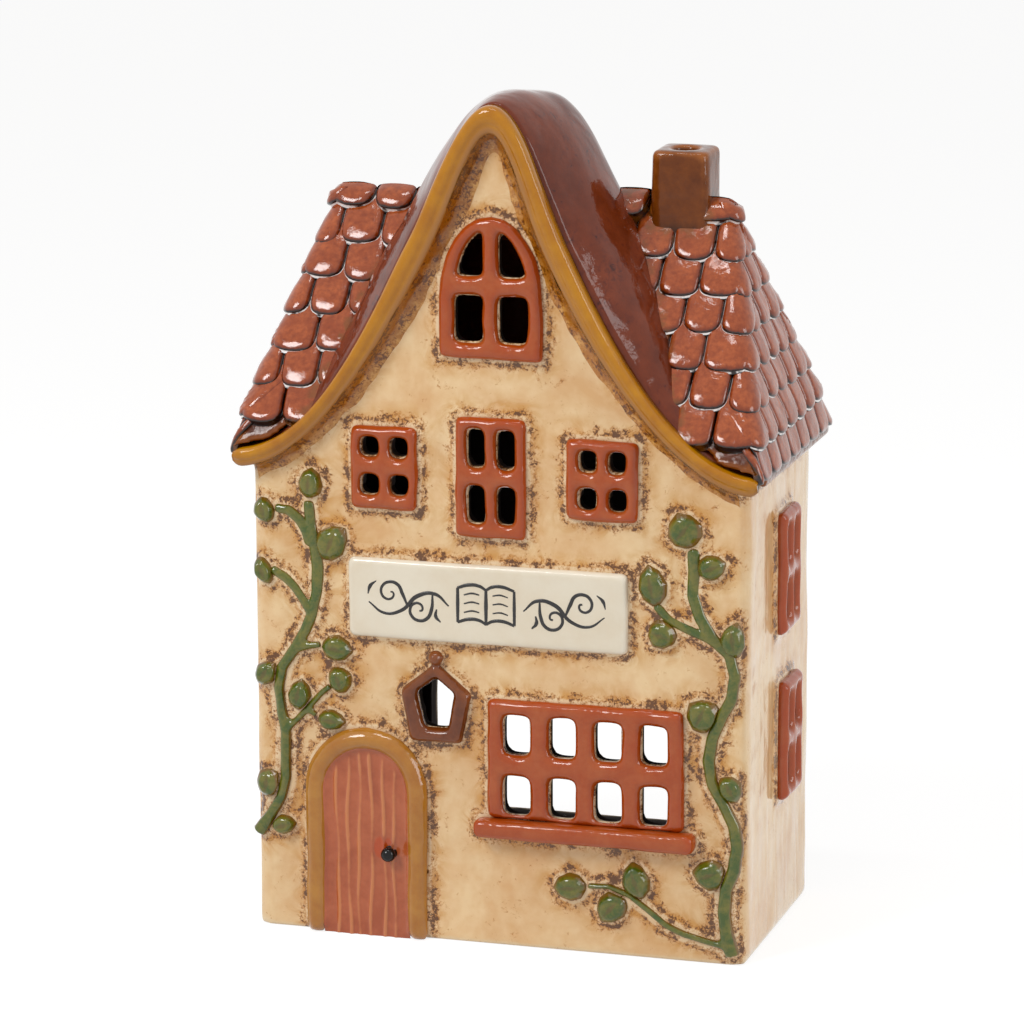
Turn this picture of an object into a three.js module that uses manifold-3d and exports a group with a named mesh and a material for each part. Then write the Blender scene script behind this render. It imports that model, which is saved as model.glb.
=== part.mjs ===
// Tealight house: a glazed stoneware cottage that holds one tealight and glows through its windows.
// Millimetres, +Z up, the front faces -Y, and the origin is the middle of the underside.
import * as THREE from "three";
import { mergeVertices } from "three/addons/utils/BufferGeometryUtils.js";
import Module from "manifold-3d";

const wasm = await Module();
wasm.setup();

// Body slabs
const bodyWidth = 126;
const bodyDepth = 66;
const wallThickness = 4.5;
const floorThickness = 4;
const wallTopZ = 118.5;
const cornerRadius = 3.5;
const seam = 0.3; // clearance where one piece is cut to fit another

// Hipped main roof
const sideOverhang = 3.2;
const frontOverhang = 5.8;
const eaveRim = 3.5;
const roofRise = 59.3;
const ridgeInset = 13.5; // from the walls' sides to the ends of the ridge
const roofThickness = 5;

// Ogee gable over the front
const gableRise = 91;
const gableThickness = 5.2;
const gableShoulderReach = 7.9;
const gableKneeX = 20.2;
const gableKneeRise = 56.5;
const gableKneeAngle = 63;
const gableKneeReachUp = 15.4;
const gableKneeReachDown = 14.6;
const gableTipReach = 22.5;
const gableTipLift = 0.8;
const gableLean = 1.2;
const gableFlare = 13;
const gableBackY = 3;
const gableBackRounding = 8;
const gableSwell = 1.4; // how far the gable's ridge rises behind the bargeboard
const bargeDepth = 4.2;
const bargeRound = 1.5;

// Roof tiles
const courseCount = 7;
const firstCourseRise = 6.6;
const topCourseDrop = 4.1; // from the ridge to the top course's lower edge
const tileWidth = 10.2;
const scallopDepth = 3;
const tileRise = 2.8;
const tileGroove = 1.1; // depth of the joint between two tiles
const tileShoulder = 0.16; // share of a tile's width over which it rounds into its joints
const eaveTileRise = 1.2;
const eaveTileTopRise = 1.8; // where the row runs in under the first course
const eaveTileDrop = 1.2; // the eave row hangs this far below the slope
const tileLap = 4;
const ridgeCapThickness = 1.8;
const ridgeCapDrop = 1.3;

// Chimney
const chimneyInset = 24.9; // from the right wall's face
const chimneyWidth = 14.5;
const chimneyDepth = 14;
const chimneyFrontY = -5.3;
const chimneyRise = 14.1; // above the ridge
const chimneyRound = 1.3;
const flueRadius = 3.4;

// Rear doorway, through which the tealight goes in
const doorwayWidth = 72;
const doorwaySillZ = 16;
const doorwaySpringZ = 46;

// Windows: place, size and bars. Upper ones are placed from the top of the walls.
const paneCorner = 1.1;
const frameBevel = 0.8;
const frontProud = 2.8;
const sideProud = 3.2;
const atticWindow = {
  name: "attic_window",
  across: -0.8,
  aboveWalls: 29,
  width: 26.2,
  height: 35.1,
  archRise: 20.5,
  stile: 3.9,
  topRail: 3.3,
  bottomRail: 4,
  mullion: 3.9,
  rail: 4.7,
  columns: 2,
  rows: 2,
};
const upperLeftWindow = {
  name: "upper_left_window",
  fromLeft: 34.9,
  aboveWalls: -9.7,
  width: 17,
  height: 21,
  stile: 2.4,
  topRail: 2.8,
  bottomRail: 3.8,
  mullion: 2.9,
  rail: 4.3,
  columns: 2,
  rows: 2,
};
const upperMiddleWindow = {
  name: "upper_middle_window",
  across: -0.9,
  aboveWalls: -15.2,
  width: 18,
  height: 30.1,
  stile: 2.9,
  topRail: 3.1,
  bottomRail: 3.6,
  mullion: 3,
  rail: 4.2,
  columns: 2,
  rows: 2,
};
const upperRightWindow = {
  name: "upper_right_window",
  fromRight: 35.9,
  aboveWalls: -9.3,
  width: 18,
  height: 20.2,
  stile: 3,
  topRail: 2.8,
  bottomRail: 2.7,
  mullion: 3,
  rail: 3.9,
  columns: 2,
  rows: 2,
};
const shopWindow = {
  name: "shop_window",
  lanternGap: 4.2,
  rightMargin: 15.2,
  baseZ: 33,
  height: 30.4,
  stile: 4.2,
  topRail: 4,
  bottomRail: 1.1,
  mullion: 4.8,
  rail: 5.4,
  columns: 4,
  rows: 2,
};
const sideUpperWindow = {
  name: "upper_window",
  across: 2.2,
  aboveWalls: -42,
  width: 16.5,
  height: 31,
  stile: 2.8,
  topRail: 3.2,
  bottomRail: 3.4,
  mullion: 3,
  rail: 4.2,
  columns: 2,
  rows: 2,
};
const sideLowerWindow = {
  name: "lower_window",
  across: 5.2,
  baseZ: 33.5,
  width: 16.5,
  height: 30.5,
  stile: 2.8,
  topRail: 3.2,
  bottomRail: 3.4,
  mullion: 3,
  rail: 4.2,
  columns: 2,
  rows: 2,
};
const sillOverhang = 3;
const sillHeight = 4.8;
const sillProud = 5;

// Lantern-shaped window with a ball finial
const lanternFromLeft = 47.8;
const lanternBaseZ = 51.3;
const lanternShoulderRise = 12.5;
const lanternApexRise = 19.7;
const lanternBaseHalf = 6.2;
const lanternShoulderHalf = 8.8;
const lanternBar = 3.3;
const lanternProud = 2.6;
const finialRadius = 1.9;

// Door
const doorFromLeft = 29.6;
const doorWidth = 21.8;
const doorSpringZ = 37.8;
const surroundWidth = 4.7;
const surroundProud = 3.4;
const doorProud = 1.4;
const plankCount = 5;
const plankGroove = 0.5;
const knobFromHinge = 17.1;
const knobZ = 21.9;
const knobRadius = 1.7;

// Blank plaque
const plaqueFromLeft = 25.6;
const plaqueFromRight = 29.4;
const plaqueBaseZ = 76.6;
const plaqueHeight = 20.1;
const plaqueProud = 2.4;
const plaqueCorner = 1.5;

// Climbing vines
const stemHalfWidth = 2.2;
const stemTipHalfWidth = 1.3;
const stemProud = 2.3;
const leafEdge = 0.9;
const leafCrown = 2.3;
const leafFullness = 1.22;

// Tealight, standing on the floor
const cupRadius = 19;
const cupFootRadius = 18.2;
const cupHeight = 16;
const cupWall = 0.6;
const cupLip = 0.4;
const waxTop = 13;
const tabRadius = 6;
const tabThickness = 0.6;
const wickRadius = 0.6;
const wickTop = 17.5;
const tealightY = -4;
const standGap = 0.1;

// Places that follow from the sizes above
const halfWidth = bodyWidth / 2;
const halfDepth = bodyDepth / 2;
const frontY = -halfDepth;
const innerHalfWidth = halfWidth - wallThickness;
const innerHalfDepth = halfDepth - wallThickness;
const eaveHalfWidth = halfWidth + sideOverhang;
const eaveHalfDepth = halfDepth + frontOverhang;
const slopeBaseZ = wallTopZ + eaveRim;
const ridgeZ = slopeBaseZ + roofRise;
const ridgeHalfLength = halfWidth - ridgeInset;
const ridgeCapZ = ridgeZ - ridgeCapDrop;
const gableApexZ = wallTopZ + gableRise;
const gableKneeZ = wallTopZ + gableKneeRise;
const firstCourseZ = slopeBaseZ + firstCourseRise;
const coursePitch = (ridgeZ - topCourseDrop - firstCourseZ) / (courseCount - 1);
const chimneyX = halfWidth - chimneyInset;
const chimneyTopZ = ridgeZ + chimneyRise;
const doorX = -halfWidth + doorFromLeft;
const knobX = doorX - doorWidth / 2 + knobFromHinge;
const lanternX = -halfWidth + lanternFromLeft;
const lanternShoulderZ = lanternBaseZ + lanternShoulderRise;
const lanternApexZ = lanternBaseZ + lanternApexRise;
const bargeBackY = -eaveHalfDepth + bargeDepth;
const upperWindows = [atticWindow, upperLeftWindow, upperMiddleWindow, upperRightWindow];
const sideWindows = [sideUpperWindow, sideLowerWindow];
for (const window of [...upperWindows, sideUpperWindow]) {
  window.baseZ = wallTopZ + window.aboveWalls;
}
upperLeftWindow.across = -halfWidth + upperLeftWindow.fromLeft;
upperRightWindow.across = halfWidth - upperRightWindow.fromRight;
const shopLeft = lanternX + lanternShoulderHalf + shopWindow.lanternGap;
const shopRight = halfWidth - shopWindow.rightMargin;
shopWindow.width = shopRight - shopLeft;
shopWindow.across = (shopLeft + shopRight) / 2;
const frontWindows = [...upperWindows, shopWindow];
const far = 2 * (bodyWidth + gableApexZ); // reaches past everything

// Glazes, as colours under plain light
const glazes = {
  cream: { color: 0xdeb88c, roughness: 0.22 },
  ochre: { color: 0xc48a20, roughness: 0.18 },
  redBrown: { color: 0x783726, roughness: 0.15 },
  tile: { color: 0xa0543c, roughness: 0.18 },
  darkBrown: { color: 0x693a14, roughness: 0.12 },
  terracotta: { color: 0xb25e3c, roughness: 0.2 },
  door: { color: 0xb46246, roughness: 0.25 },
  ivory: { color: 0xe4dac2, roughness: 0.25 },
  leaf: { color: 0x5f783c, roughness: 0.2 },
  black: { color: 0x14110f, roughness: 0.1 },
  aluminium: { color: 0xc9cbcc, roughness: 0.35, metalness: 1 },
  wax: { color: 0xf3efe4, roughness: 0.5 },
  cotton: { color: 0xe9e2cf, roughness: 0.9 },
  steel: { color: 0x9a9c9e, roughness: 0.4, metalness: 1 },
};

// Closed geometry to a solid that can be cut, and back
function toSolid(geometry) {
  const flat = geometry.index ? geometry.toNonIndexed() : geometry;
  const bare = new THREE.BufferGeometry();
  bare.setAttribute("position", flat.getAttribute("position"));
  const merged = mergeVertices(bare, 1e-4);
  const vertProperties = new Float32Array(merged.getAttribute("position").array);
  const triVerts = new Uint32Array(merged.index.array);
  return new wasm.Manifold(new wasm.Mesh({ numProp: 3, vertProperties, triVerts }));
}

function toGeometry(solid) {
  const mesh = solid.getMesh();
  const geometry = new THREE.BufferGeometry();
  geometry.setAttribute("position", new THREE.BufferAttribute(mesh.vertProperties, 3));
  geometry.setIndex(new THREE.BufferAttribute(mesh.triVerts, 1));
  const faceted = geometry.toNonIndexed();
  faceted.computeVertexNormals();
  return faceted;
}

// The separate bodies that a cut left, the largest first
function piecesOf(solid) {
  return solid.decompose().sort((a, b) => b.volume() - a.volume());
}

function boxSolid(low, high) {
  const box = new THREE.BoxGeometry(high[0] - low[0], high[1] - low[1], high[2] - low[2]);
  box.translate((low[0] + high[0]) / 2, (low[1] + high[1]) / 2, (low[2] + high[2]) / 2);
  return toSolid(box);
}

// A closed body through a row of loops with the same number of points
function loft(loops, capTriangles = fan(loops[0].length)) {
  const count = loops[0].length;
  const last = (loops.length - 1) * count;
  const points = loops.flat();
  const triangles = [];
  for (let i = 0; i < last; i += count) {
    for (let j = 0; j < count; j++) {
      const next = (j + 1) % count;
      triangles.push([i + j, i + next, i + count + next], [i + j, i + count + next, i + count + j]);
    }
  }
  for (const [a, b, c] of capTriangles) {
    triangles.push([a, c, b], [last + a, last + b, last + c]);
  }
  const volume = triangles.reduce((sum, [a, b, c]) => {
    return sum + points[a].dot(points[b].clone().cross(points[c]));
  }, 0);
  const index = triangles.flatMap(([a, b, c]) => (volume < 0 ? [a, c, b] : [a, b, c]));
  const geometry = new THREE.BufferGeometry();
  geometry.setAttribute(
    "position",
    new THREE.Float32BufferAttribute(points.flatMap((p) => p.toArray()), 3),
  );
  geometry.setIndex(index);
  return geometry;
}

// End triangles for a convex loop
function fan(count) {
  return Array.from({ length: count - 2 }, (_, i) => [0, i + 1, i + 2]);
}

// End triangles for any loop that lies flat in X and Z
function flatCap(loop) {
  const outline = loop.map((p) => new THREE.Vector2(p.x, p.z));
  const clockwise = THREE.ShapeUtils.isClockWise(outline);
  const triangles = THREE.ShapeUtils.triangulateShape(outline, []);
  return triangles.map(([a, b, c]) => (clockwise ? [a, c, b] : [a, b, c]));
}

// A flat outline drawn in X and Z, made solid from nearY back to farY
function slab(shape, nearY, farY, curveSegments = 3) {
  const depth = farY - nearY;
  const geometry = new THREE.ExtrudeGeometry(shape, { depth, bevelEnabled: false, curveSegments });
  geometry.rotateX(Math.PI / 2);
  geometry.translate(0, farY, 0);
  return geometry;
}

// A wall from nearY back to farY, cut through by each of the openings
function wallWith(shape, openings, nearY, farY, curveSegments = 1) {
  let wall = toSolid(slab(shape, nearY, farY));
  for (const opening of openings) {
    wall = wall.subtract(toSolid(slab(opening, nearY - 1, farY + 1, curveSegments)));
  }
  return wall;
}

// A relief on a wall at backY: rounded over along its front edges, flat at the back
function relief(shape, backY, proud, bevel, bevelSegments = 1, curveSegments = 2) {
  const geometry = new THREE.ExtrudeGeometry(shape, {
    depth: proud,
    bevelThickness: bevel,
    bevelSize: bevel,
    bevelOffset: -bevel,
    bevelSegments,
    curveSegments,
  });
  geometry.rotateX(Math.PI / 2);
  geometry.translate(0, backY + bevel, 0);
  const frontHalf = boxSolid([-far, backY - far, -far], [far, backY, far]);
  return toSolid(geometry).intersect(frontHalf);
}

// Cuts a hole through a relief of that height, with the same rounding along its front edge
function holed(solid, shape, backY, proud, bevel, curveSegments = 1) {
  const flare = new THREE.ExtrudeGeometry(shape, {
    depth: proud,
    bevelThickness: bevel,
    bevelSize: bevel,
    bevelSegments: 1,
    curveSegments,
  });
  flare.rotateX(Math.PI / 2);
  flare.translate(0, backY - proud, 0);
  const straight = slab(shape, backY - proud, backY + 1, curveSegments);
  return solid.subtract(toSolid(flare)).subtract(toSolid(straight));
}

function roundedRectangle(x, z, width, height, radius) {
  const shape = new THREE.Shape();
  const r = Math.min(radius, width / 2.2, height / 2.2);
  shape.moveTo(x + r, z);
  shape.lineTo(x + width - r, z);
  shape.absarc(x + width - r, z + r, r, -Math.PI / 2, 0, false);
  shape.lineTo(x + width, z + height - r);
  shape.absarc(x + width - r, z + height - r, r, 0, Math.PI / 2, false);
  shape.lineTo(x + r, z + height);
  shape.absarc(x + r, z + height - r, r, Math.PI / 2, Math.PI, false);
  shape.lineTo(x, z + r);
  shape.absarc(x + r, z + r, r, Math.PI, 1.5 * Math.PI, false);
  return shape;
}

// Straight sides up to springZ, then a half circle or half ellipse
function archShape(x, baseZ, springZ, halfSpan, rise = halfSpan) {
  const shape = new THREE.Shape();
  shape.moveTo(x - halfSpan, baseZ);
  shape.lineTo(x + halfSpan, baseZ);
  shape.lineTo(x + halfSpan, springZ);
  shape.absellipse(x, springZ, halfSpan, rise, 0, Math.PI, false);
  return shape;
}

function polygonShape(points) {
  return new THREE.Shape(points.map(([x, z]) => new THREE.Vector2(x, z)));
}

// The panes of a window, as outlines in a grid between its bars
function panesOf(window) {
  const { across, baseZ, width, height, columns, rows } = window;
  const paneWidth = (width - 2 * window.stile - (columns - 1) * window.mullion) / columns;
  const clearHeight = height - window.topRail - window.bottomRail;
  const paneHeight = (clearHeight - (rows - 1) * window.rail) / rows;
  const panes = [];
  for (let row = 0; row < rows; row++) {
    for (let column = 0; column < columns; column++) {
      const x = across - width / 2 + window.stile + column * (paneWidth + window.mullion);
      const z = baseZ + window.bottomRail + row * (paneHeight + window.rail);
      if (window.archRise && row === rows - 1) {
        panes.push(archedPane(window, z, paneWidth, column === 0));
      } else {
        panes.push(roundedRectangle(x, z, paneWidth, paneHeight, paneCorner));
      }
    }
  }
  return panes;
}

// A top pane whose outer side follows the arch of the frame
function archedPane(window, z, paneWidth, onLeft) {
  const springZ = window.baseZ + window.height - window.archRise;
  const span = window.width / 2 - window.stile;
  const rise = window.archRise - window.topRail;
  const inner = window.mullion / 2;
  const side = onLeft ? -1 : 1;
  const outline = [
    [window.across + side * inner, z],
    [window.across + side * (inner + paneWidth), z],
  ];
  const steps = 5;
  const lastAngle = Math.acos(inner / span);
  const firstAngle = Math.asin(Math.max(0, z + paneCorner - springZ) / rise);
  for (let i = 0; i <= steps; i++) {
    const angle = firstAngle + ((lastAngle - firstAngle) * i) / steps;
    outline.push([window.across + side * span * Math.cos(angle), springZ + rise * Math.sin(angle)]);
  }
  return polygonShape(onLeft ? outline.reverse() : outline);
}

function windowOutline(window) {
  const { across, baseZ, width, height } = window;
  if (window.archRise) {
    return archShape(across, baseZ, baseZ + height - window.archRise, width / 2, window.archRise);
  }
  return roundedRectangle(across - width / 2, baseZ, width, height, paneCorner);
}

function windowFrame(window, wallY, proud) {
  const segments = window.archRise ? 6 : 1;
  let frame = relief(windowOutline(window), wallY, proud, frameBevel, 1, segments);
  for (const pane of panesOf(window)) {
    frame = holed(frame, pane, wallY, proud, frameBevel);
  }
  return frame;
}

// The lantern's outline, drawn in by inset
function lanternOutline(inset) {
  const slant = lanternShoulderHalf - lanternBaseHalf;
  const base = lanternBaseHalf - inset;
  const shoulder = lanternShoulderHalf - 1.15 * inset;
  return [
    [lanternX - base - slant * 0.1, lanternBaseZ + inset],
    [lanternX + base + slant * 0.1, lanternBaseZ + inset],
    [lanternX + shoulder, lanternShoulderZ],
    [lanternX, lanternApexZ - inset],
    [lanternX - shoulder, lanternShoulderZ],
  ];
}

// One side of the gable curve, dropped below the outer skin by drop, from apex to eave tip
function gableSide(side, steps, drop) {
  const angle = THREE.MathUtils.degToRad(gableKneeAngle);
  const along = new THREE.Vector2(Math.cos(angle), -Math.sin(angle));
  const inward = new THREE.Vector2(-Math.sin(angle), -Math.cos(angle));
  const apex = new THREE.Vector2(0, gableApexZ - 1.2 * drop);
  const knee = new THREE.Vector2(gableKneeX, gableKneeZ).addScaledVector(inward, drop);
  const tip = new THREE.Vector2(eaveHalfWidth, slopeBaseZ + gableTipLift - 0.85 * drop);
  const upper = new THREE.CubicBezierCurve(
    apex,
    new THREE.Vector2(gableShoulderReach - 0.55 * drop, apex.y),
    knee.clone().addScaledVector(along, -gableKneeReachUp),
    knee,
  );
  const lower = new THREE.CubicBezierCurve(
    knee,
    knee.clone().addScaledVector(along, gableKneeReachDown),
    new THREE.Vector2(tip.x - gableTipReach, tip.y),
    tip,
  );
  const half = Math.round(steps / 2);
  const points = [...upper.getPoints(half).slice(0, -1), ...lower.getPoints(steps - half)];
  return points.map((p) => {
    const height = (p.y - tip.y) / (apex.y - tip.y);
    return new THREE.Vector2(side * p.x - gableLean * Math.sin(Math.PI * height), p.y);
  });
}

// The whole gable curve from the left eave tip over the apex to the right one
function gableCurve(steps, drop) {
  return [...gableSide(-1, steps, drop).reverse(), ...gableSide(1, steps, drop).slice(1)];
}

// Everything under the gable curve, dropped below the outer skin by drop
function underGable(steps, drop, nearY, farY) {
  const curve = gableCurve(steps, drop);
  const reach = eaveHalfWidth + frontOverhang;
  const shape = polygonShape([
    [-reach, -far],
    [reach, -far],
    [reach, curve[curve.length - 1].y],
    ...curve.reverse().map((p) => [p.x, p.y]),
    [-reach, curve[curve.length - 1].y],
  ]);
  return toSolid(slab(shape, nearY, farY));
}

// The gable's outer body: straight at the front, flaring back into the main roof, rounded off behind
function gableBody(steps, grow) {
  const curve = gableCurve(steps, -grow);
  const flareLength = gableBackY - gableBackRounding - bargeBackY;
  const stations = [
    [-far, 0, 1],
    [bargeBackY, 0, 1],
  ];
  for (const t of [0.1, 0.2, 0.35, 0.55, 0.8, 1]) {
    stations.push([bargeBackY + t * flareLength, t, 1]);
  }
  const roundHeight = gableApexZ - slopeBaseZ;
  for (const angle of [30, 55, 80]) {
    const turn = THREE.MathUtils.degToRad(angle);
    const y = gableBackY - gableBackRounding * (1 - Math.sin(turn));
    const drop = gableBackRounding * (1 - Math.cos(turn));
    stations.push([y + grow, 1, 1 - drop / roundHeight]);
  }
  const middle = (curve.length - 1) / 2;
  const loops = stations.map(([y, flare, shrink]) => {
    const points = curve.map((p, i) => {
      const share = Math.abs(i - middle) / middle;
      const side = Math.sign(i - middle);
      const fillet = 1 - (1 - flare) ** (1 + 3 * share);
      const spread = gableFlare * fillet * share ** 0.45 * (1 - share ** 6);
      const swell = gableSwell * Math.sin(Math.PI * Math.min(flare, 1) ** 0.7) * (1 - share) ** 2;
      const z = slopeBaseZ + (p.y - slopeBaseZ) * shrink + swell;
      return new THREE.Vector3((p.x + side * spread) * (flare ? shrink : 1), y, z);
    });
    const last = points[points.length - 1];
    const first = points[0];
    points.push(new THREE.Vector3(last.x, y, wallTopZ - grow));
    points.push(new THREE.Vector3(first.x, y, wallTopZ - grow));
    return points;
  });
  return toSolid(loft(loops, flatCap(loops[0])));
}

// Half sizes of the main roof at a height, with its skin moved out by out
function roofHalves(z, out) {
  const share = (z - slopeBaseZ) / roofRise;
  return {
    x: eaveHalfWidth - (eaveHalfWidth - ridgeHalfLength) * share + out,
    y: eaveHalfDepth * (1 - share) + out,
  };
}

// The main roof as a solid, with its slopes moved out by out
function hippedBody(out) {
  const top = ridgeZ + (out * roofRise) / eaveHalfDepth;
  const eave = roofHalves(slopeBaseZ, out);
  const ridge = roofHalves(top, out).x;
  const corners = [
    [-eave.x, -eave.y],
    [eave.x, -eave.y],
    [eave.x, eave.y],
    [-eave.x, eave.y],
  ];
  const positions = [
    ...corners.flatMap(([x, y]) => [x, y, wallTopZ]),
    ...corners.flatMap(([x, y]) => [x, y, slopeBaseZ]),
    -ridge, 0, top,
    ridge, 0, top,
  ];
  const index = [0, 2, 1, 0, 3, 2];
  for (let i = 0; i < 4; i++) {
    const next = (i + 1) % 4;
    index.push(i, next, next + 4, i, next + 4, i + 4);
  }
  index.push(4, 5, 9, 4, 9, 8, 5, 6, 9, 6, 7, 8, 6, 8, 9, 7, 4, 8);
  const geometry = new THREE.BufferGeometry();
  geometry.setAttribute("position", new THREE.Float32BufferAttribute(positions, 3));
  geometry.setIndex(index);
  return toSolid(geometry);
}

function chimneyShape(grow) {
  const width = chimneyWidth + 2 * grow;
  const depth = chimneyDepth + 2 * grow;
  const x = chimneyX - width / 2;
  return roundedRectangle(x, chimneyFrontY - grow, width, depth, 1.6 * chimneyRound);
}

// The chimney's shaft without its flue, from the eaves up
function chimneyShaft(grow) {
  const bevel = grow > 0 ? 0 : chimneyRound;
  const geometry = new THREE.ExtrudeGeometry(chimneyShape(grow), {
    depth: chimneyTopZ + grow - slopeBaseZ - bevel,
    bevelEnabled: bevel > 0,
    bevelThickness: bevel,
    bevelSize: bevel,
    bevelOffset: -bevel,
    bevelSegments: 2,
    curveSegments: 2,
  });
  geometry.translate(0, 0, slopeBaseZ);
  return toSolid(geometry);
}

function flueBore() {
  const flue = new THREE.CylinderGeometry(flueRadius, flueRadius, far, 16);
  flue.rotateX(Math.PI / 2);
  flue.translate(chimneyX, chimneyFrontY + chimneyDepth / 2, 0);
  return toSolid(flue);
}

// Slabs of the body
function bodyPlan() {
  const plan = roundedRectangle(-halfWidth, -halfDepth, bodyWidth, bodyDepth, cornerRadius);
  const prism = new THREE.ExtrudeGeometry(plan, { depth: far, bevelEnabled: false, curveSegments: 3 });
  return toSolid(prism);
}

function frontWall() {
  const curve = gableCurve(gableSteps, gableThickness + seam);
  const onWall = curve.filter((p) => Math.abs(p.x) < halfWidth);
  const edgeZ = wallTopZ - seam;
  const shape = polygonShape([
    [-halfWidth, 0],
    [halfWidth, 0],
    [halfWidth, Math.min(edgeZ, onWall[onWall.length - 1].y)],
    ...onWall.reverse().map((p) => [p.x, p.y]),
    [-halfWidth, Math.min(edgeZ, onWall[onWall.length - 1].y)],
  ]);
  const panes = frontWindows.flatMap(panesOf);
  const lantern = polygonShape(lanternOutline(lanternBar));
  const wall = wallWith(shape, [...panes, lantern], frontY, frontY + wallThickness);
  return wall.intersect(bodyPlan());
}

function rearWall() {
  const shape = polygonShape([
    [-halfWidth, 0],
    [halfWidth, 0],
    [halfWidth, wallTopZ],
    [-halfWidth, wallTopZ],
  ]);
  const doorway = archShape(0, doorwaySillZ, doorwaySpringZ, doorwayWidth / 2);
  return wallWith(shape, [doorway], innerHalfDepth, halfDepth, 12).intersect(bodyPlan());
}

// A side wall and its windows are made as a wall facing -Y, then turned to face outward
function turnedToSide(solid, side) {
  return solid.rotate([0, 0, side * 90]);
}

function sideWall(side) {
  const shape = polygonShape([
    [-innerHalfDepth, 0],
    [innerHalfDepth, 0],
    [innerHalfDepth, wallTopZ],
    [-innerHalfDepth, wallTopZ],
  ]);
  const windows = sideWindows.map((w) => ({ ...w, across: side * w.across }));
  const panes = windows.flatMap(panesOf);
  return turnedToSide(wallWith(shape, panes, -halfWidth, -innerHalfWidth), side);
}

function sideWindow(window, side) {
  const mirrored = { ...window, across: side * window.across };
  return turnedToSide(windowFrame(mirrored, -halfWidth, sideProud), side);
}

function floorSlab() {
  return boxSolid([-innerHalfWidth, -innerHalfDepth, 0], [innerHalfWidth, innerHalfDepth, floorThickness]);
}

// Roofs
const gableSteps = 14;
const gableGrown = gableBody(gableSteps, seam);
const wallBackY = -innerHalfDepth;

function mainRoof() {
  const insideWalls = boxSolid(
    [-innerHalfWidth, -innerHalfDepth, 0],
    [innerHalfWidth, innerHalfDepth, far],
  );
  const hollow = hippedBody(-roofThickness).intersect(insideWalls);
  const rimHollow = boxSolid(
    [-innerHalfWidth, -innerHalfDepth, wallTopZ - 1],
    [innerHalfWidth, innerHalfDepth, slopeBaseZ],
  );
  const overWall = boxSolid([-far, -far, -far], [far, wallBackY + seam / 2, far]);
  const attic = underGable(gableSteps, gableThickness, -eaveHalfDepth, gableBackY - gableThickness);
  return hippedBody(0)
    .subtract(hollow)
    .subtract(rimHollow)
    .subtract(gableGrown.intersect(overWall))
    .subtract(attic)
    .subtract(flueBore());
}

function gableRoof() {
  const behindWall = boxSolid([-far, wallBackY - seam / 2, -far], [far, far, far]);
  const ahead = boxSolid([-far, -far, -far], [far, bargeBackY, far]);
  const attic = underGable(gableSteps, gableThickness, -far, gableBackY - gableThickness);
  return gableBody(gableSteps, 0)
    .subtract(ahead)
    .subtract(attic)
    .subtract(hippedBody(seam).intersect(behindWall));
}

function bargeboard() {
  const round = (share) => bargeRound * share;
  const sections = [
    [bargeBackY, 0],
    [-eaveHalfDepth + bargeRound, 0],
    [-eaveHalfDepth + round(0.3), round(0.3)],
    [-eaveHalfDepth, bargeRound],
  ];
  const loops = sections.map(([y, inset]) => {
    const outer = gableCurve(gableSteps, inset);
    const inner = gableCurve(gableSteps, gableThickness - inset).reverse();
    return [...outer, ...inner].map((p) => new THREE.Vector3(p.x, y, p.y));
  });
  return toSolid(loft(loops, flatCap(loops[0])));
}

function chimney() {
  return chimneyShaft(0).subtract(hippedBody(seam)).subtract(flueBore());
}

// How far a tile's lower edge is drawn up, from the middle of the tile to its joints
function scallopLift(v) {
  return scallopDepth * (1 - Math.sqrt(Math.max(0, 1 - Math.abs(2 * v - 1) ** 2.4)));
}

// Stations round the roof for one course: corner to corner, with each tile's own share v
function courseStations(courseZ, staggered) {
  const corner = roofHalves(courseZ, tileRise);
  const steps = [0, tileShoulder, 1 - tileShoulder];
  const stations = [];
  const addFace = (place, length, open) => {
    const count = Math.max(1, Math.round(length / tileWidth));
    const shift = staggered ? 0.5 : 0;
    for (let i = 0; i <= count; i++) {
      for (const step of steps) {
        const share = (i + step - shift) / count;
        if (share > 1e-6 && share < 1 - 1e-6) {
          stations.push({ ...place, share, v: step });
        }
      }
    }
    if (!open) {
      stations.push({ ...place, share: 1, v: staggered ? 0.5 : 0 });
    }
  };
  const frontLength = Math.ceil((corner.x - gableKneeX / 2) / tileWidth) * tileWidth;
  stations.push({ face: "frontLeft", length: frontLength, share: 0, v: staggered ? 0.5 : 0 });
  addFace({ face: "frontLeft", length: frontLength }, frontLength);
  addFace({ face: "left" }, 2 * corner.y);
  addFace({ face: "back" }, 2 * corner.x);
  addFace({ face: "right" }, 2 * corner.y);
  addFace({ face: "frontRight", length: frontLength }, frontLength, true);
  stations.push({ face: "frontRight", length: frontLength, share: 1, v: staggered ? 0.5 : 0 });
  return stations;
}

// A point of a course: z up the slope and out from the roof's skin, at one station
function coursePoint(station, z, out) {
  const half = roofHalves(Math.min(z, ridgeZ), out);
  const { face, share, length } = station;
  if (face === "frontLeft") {
    return new THREE.Vector3(-half.x + length * (1 - share), -half.y, z);
  }
  if (face === "left") {
    return new THREE.Vector3(-half.x, (2 * share - 1) * half.y, z);
  }
  if (face === "back") {
    return new THREE.Vector3((2 * share - 1) * half.x, half.y, z);
  }
  if (face === "right") {
    return new THREE.Vector3(half.x, (1 - 2 * share) * half.y, z);
  }
  return new THREE.Vector3(half.x - length * share, -half.y, z);
}

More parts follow.
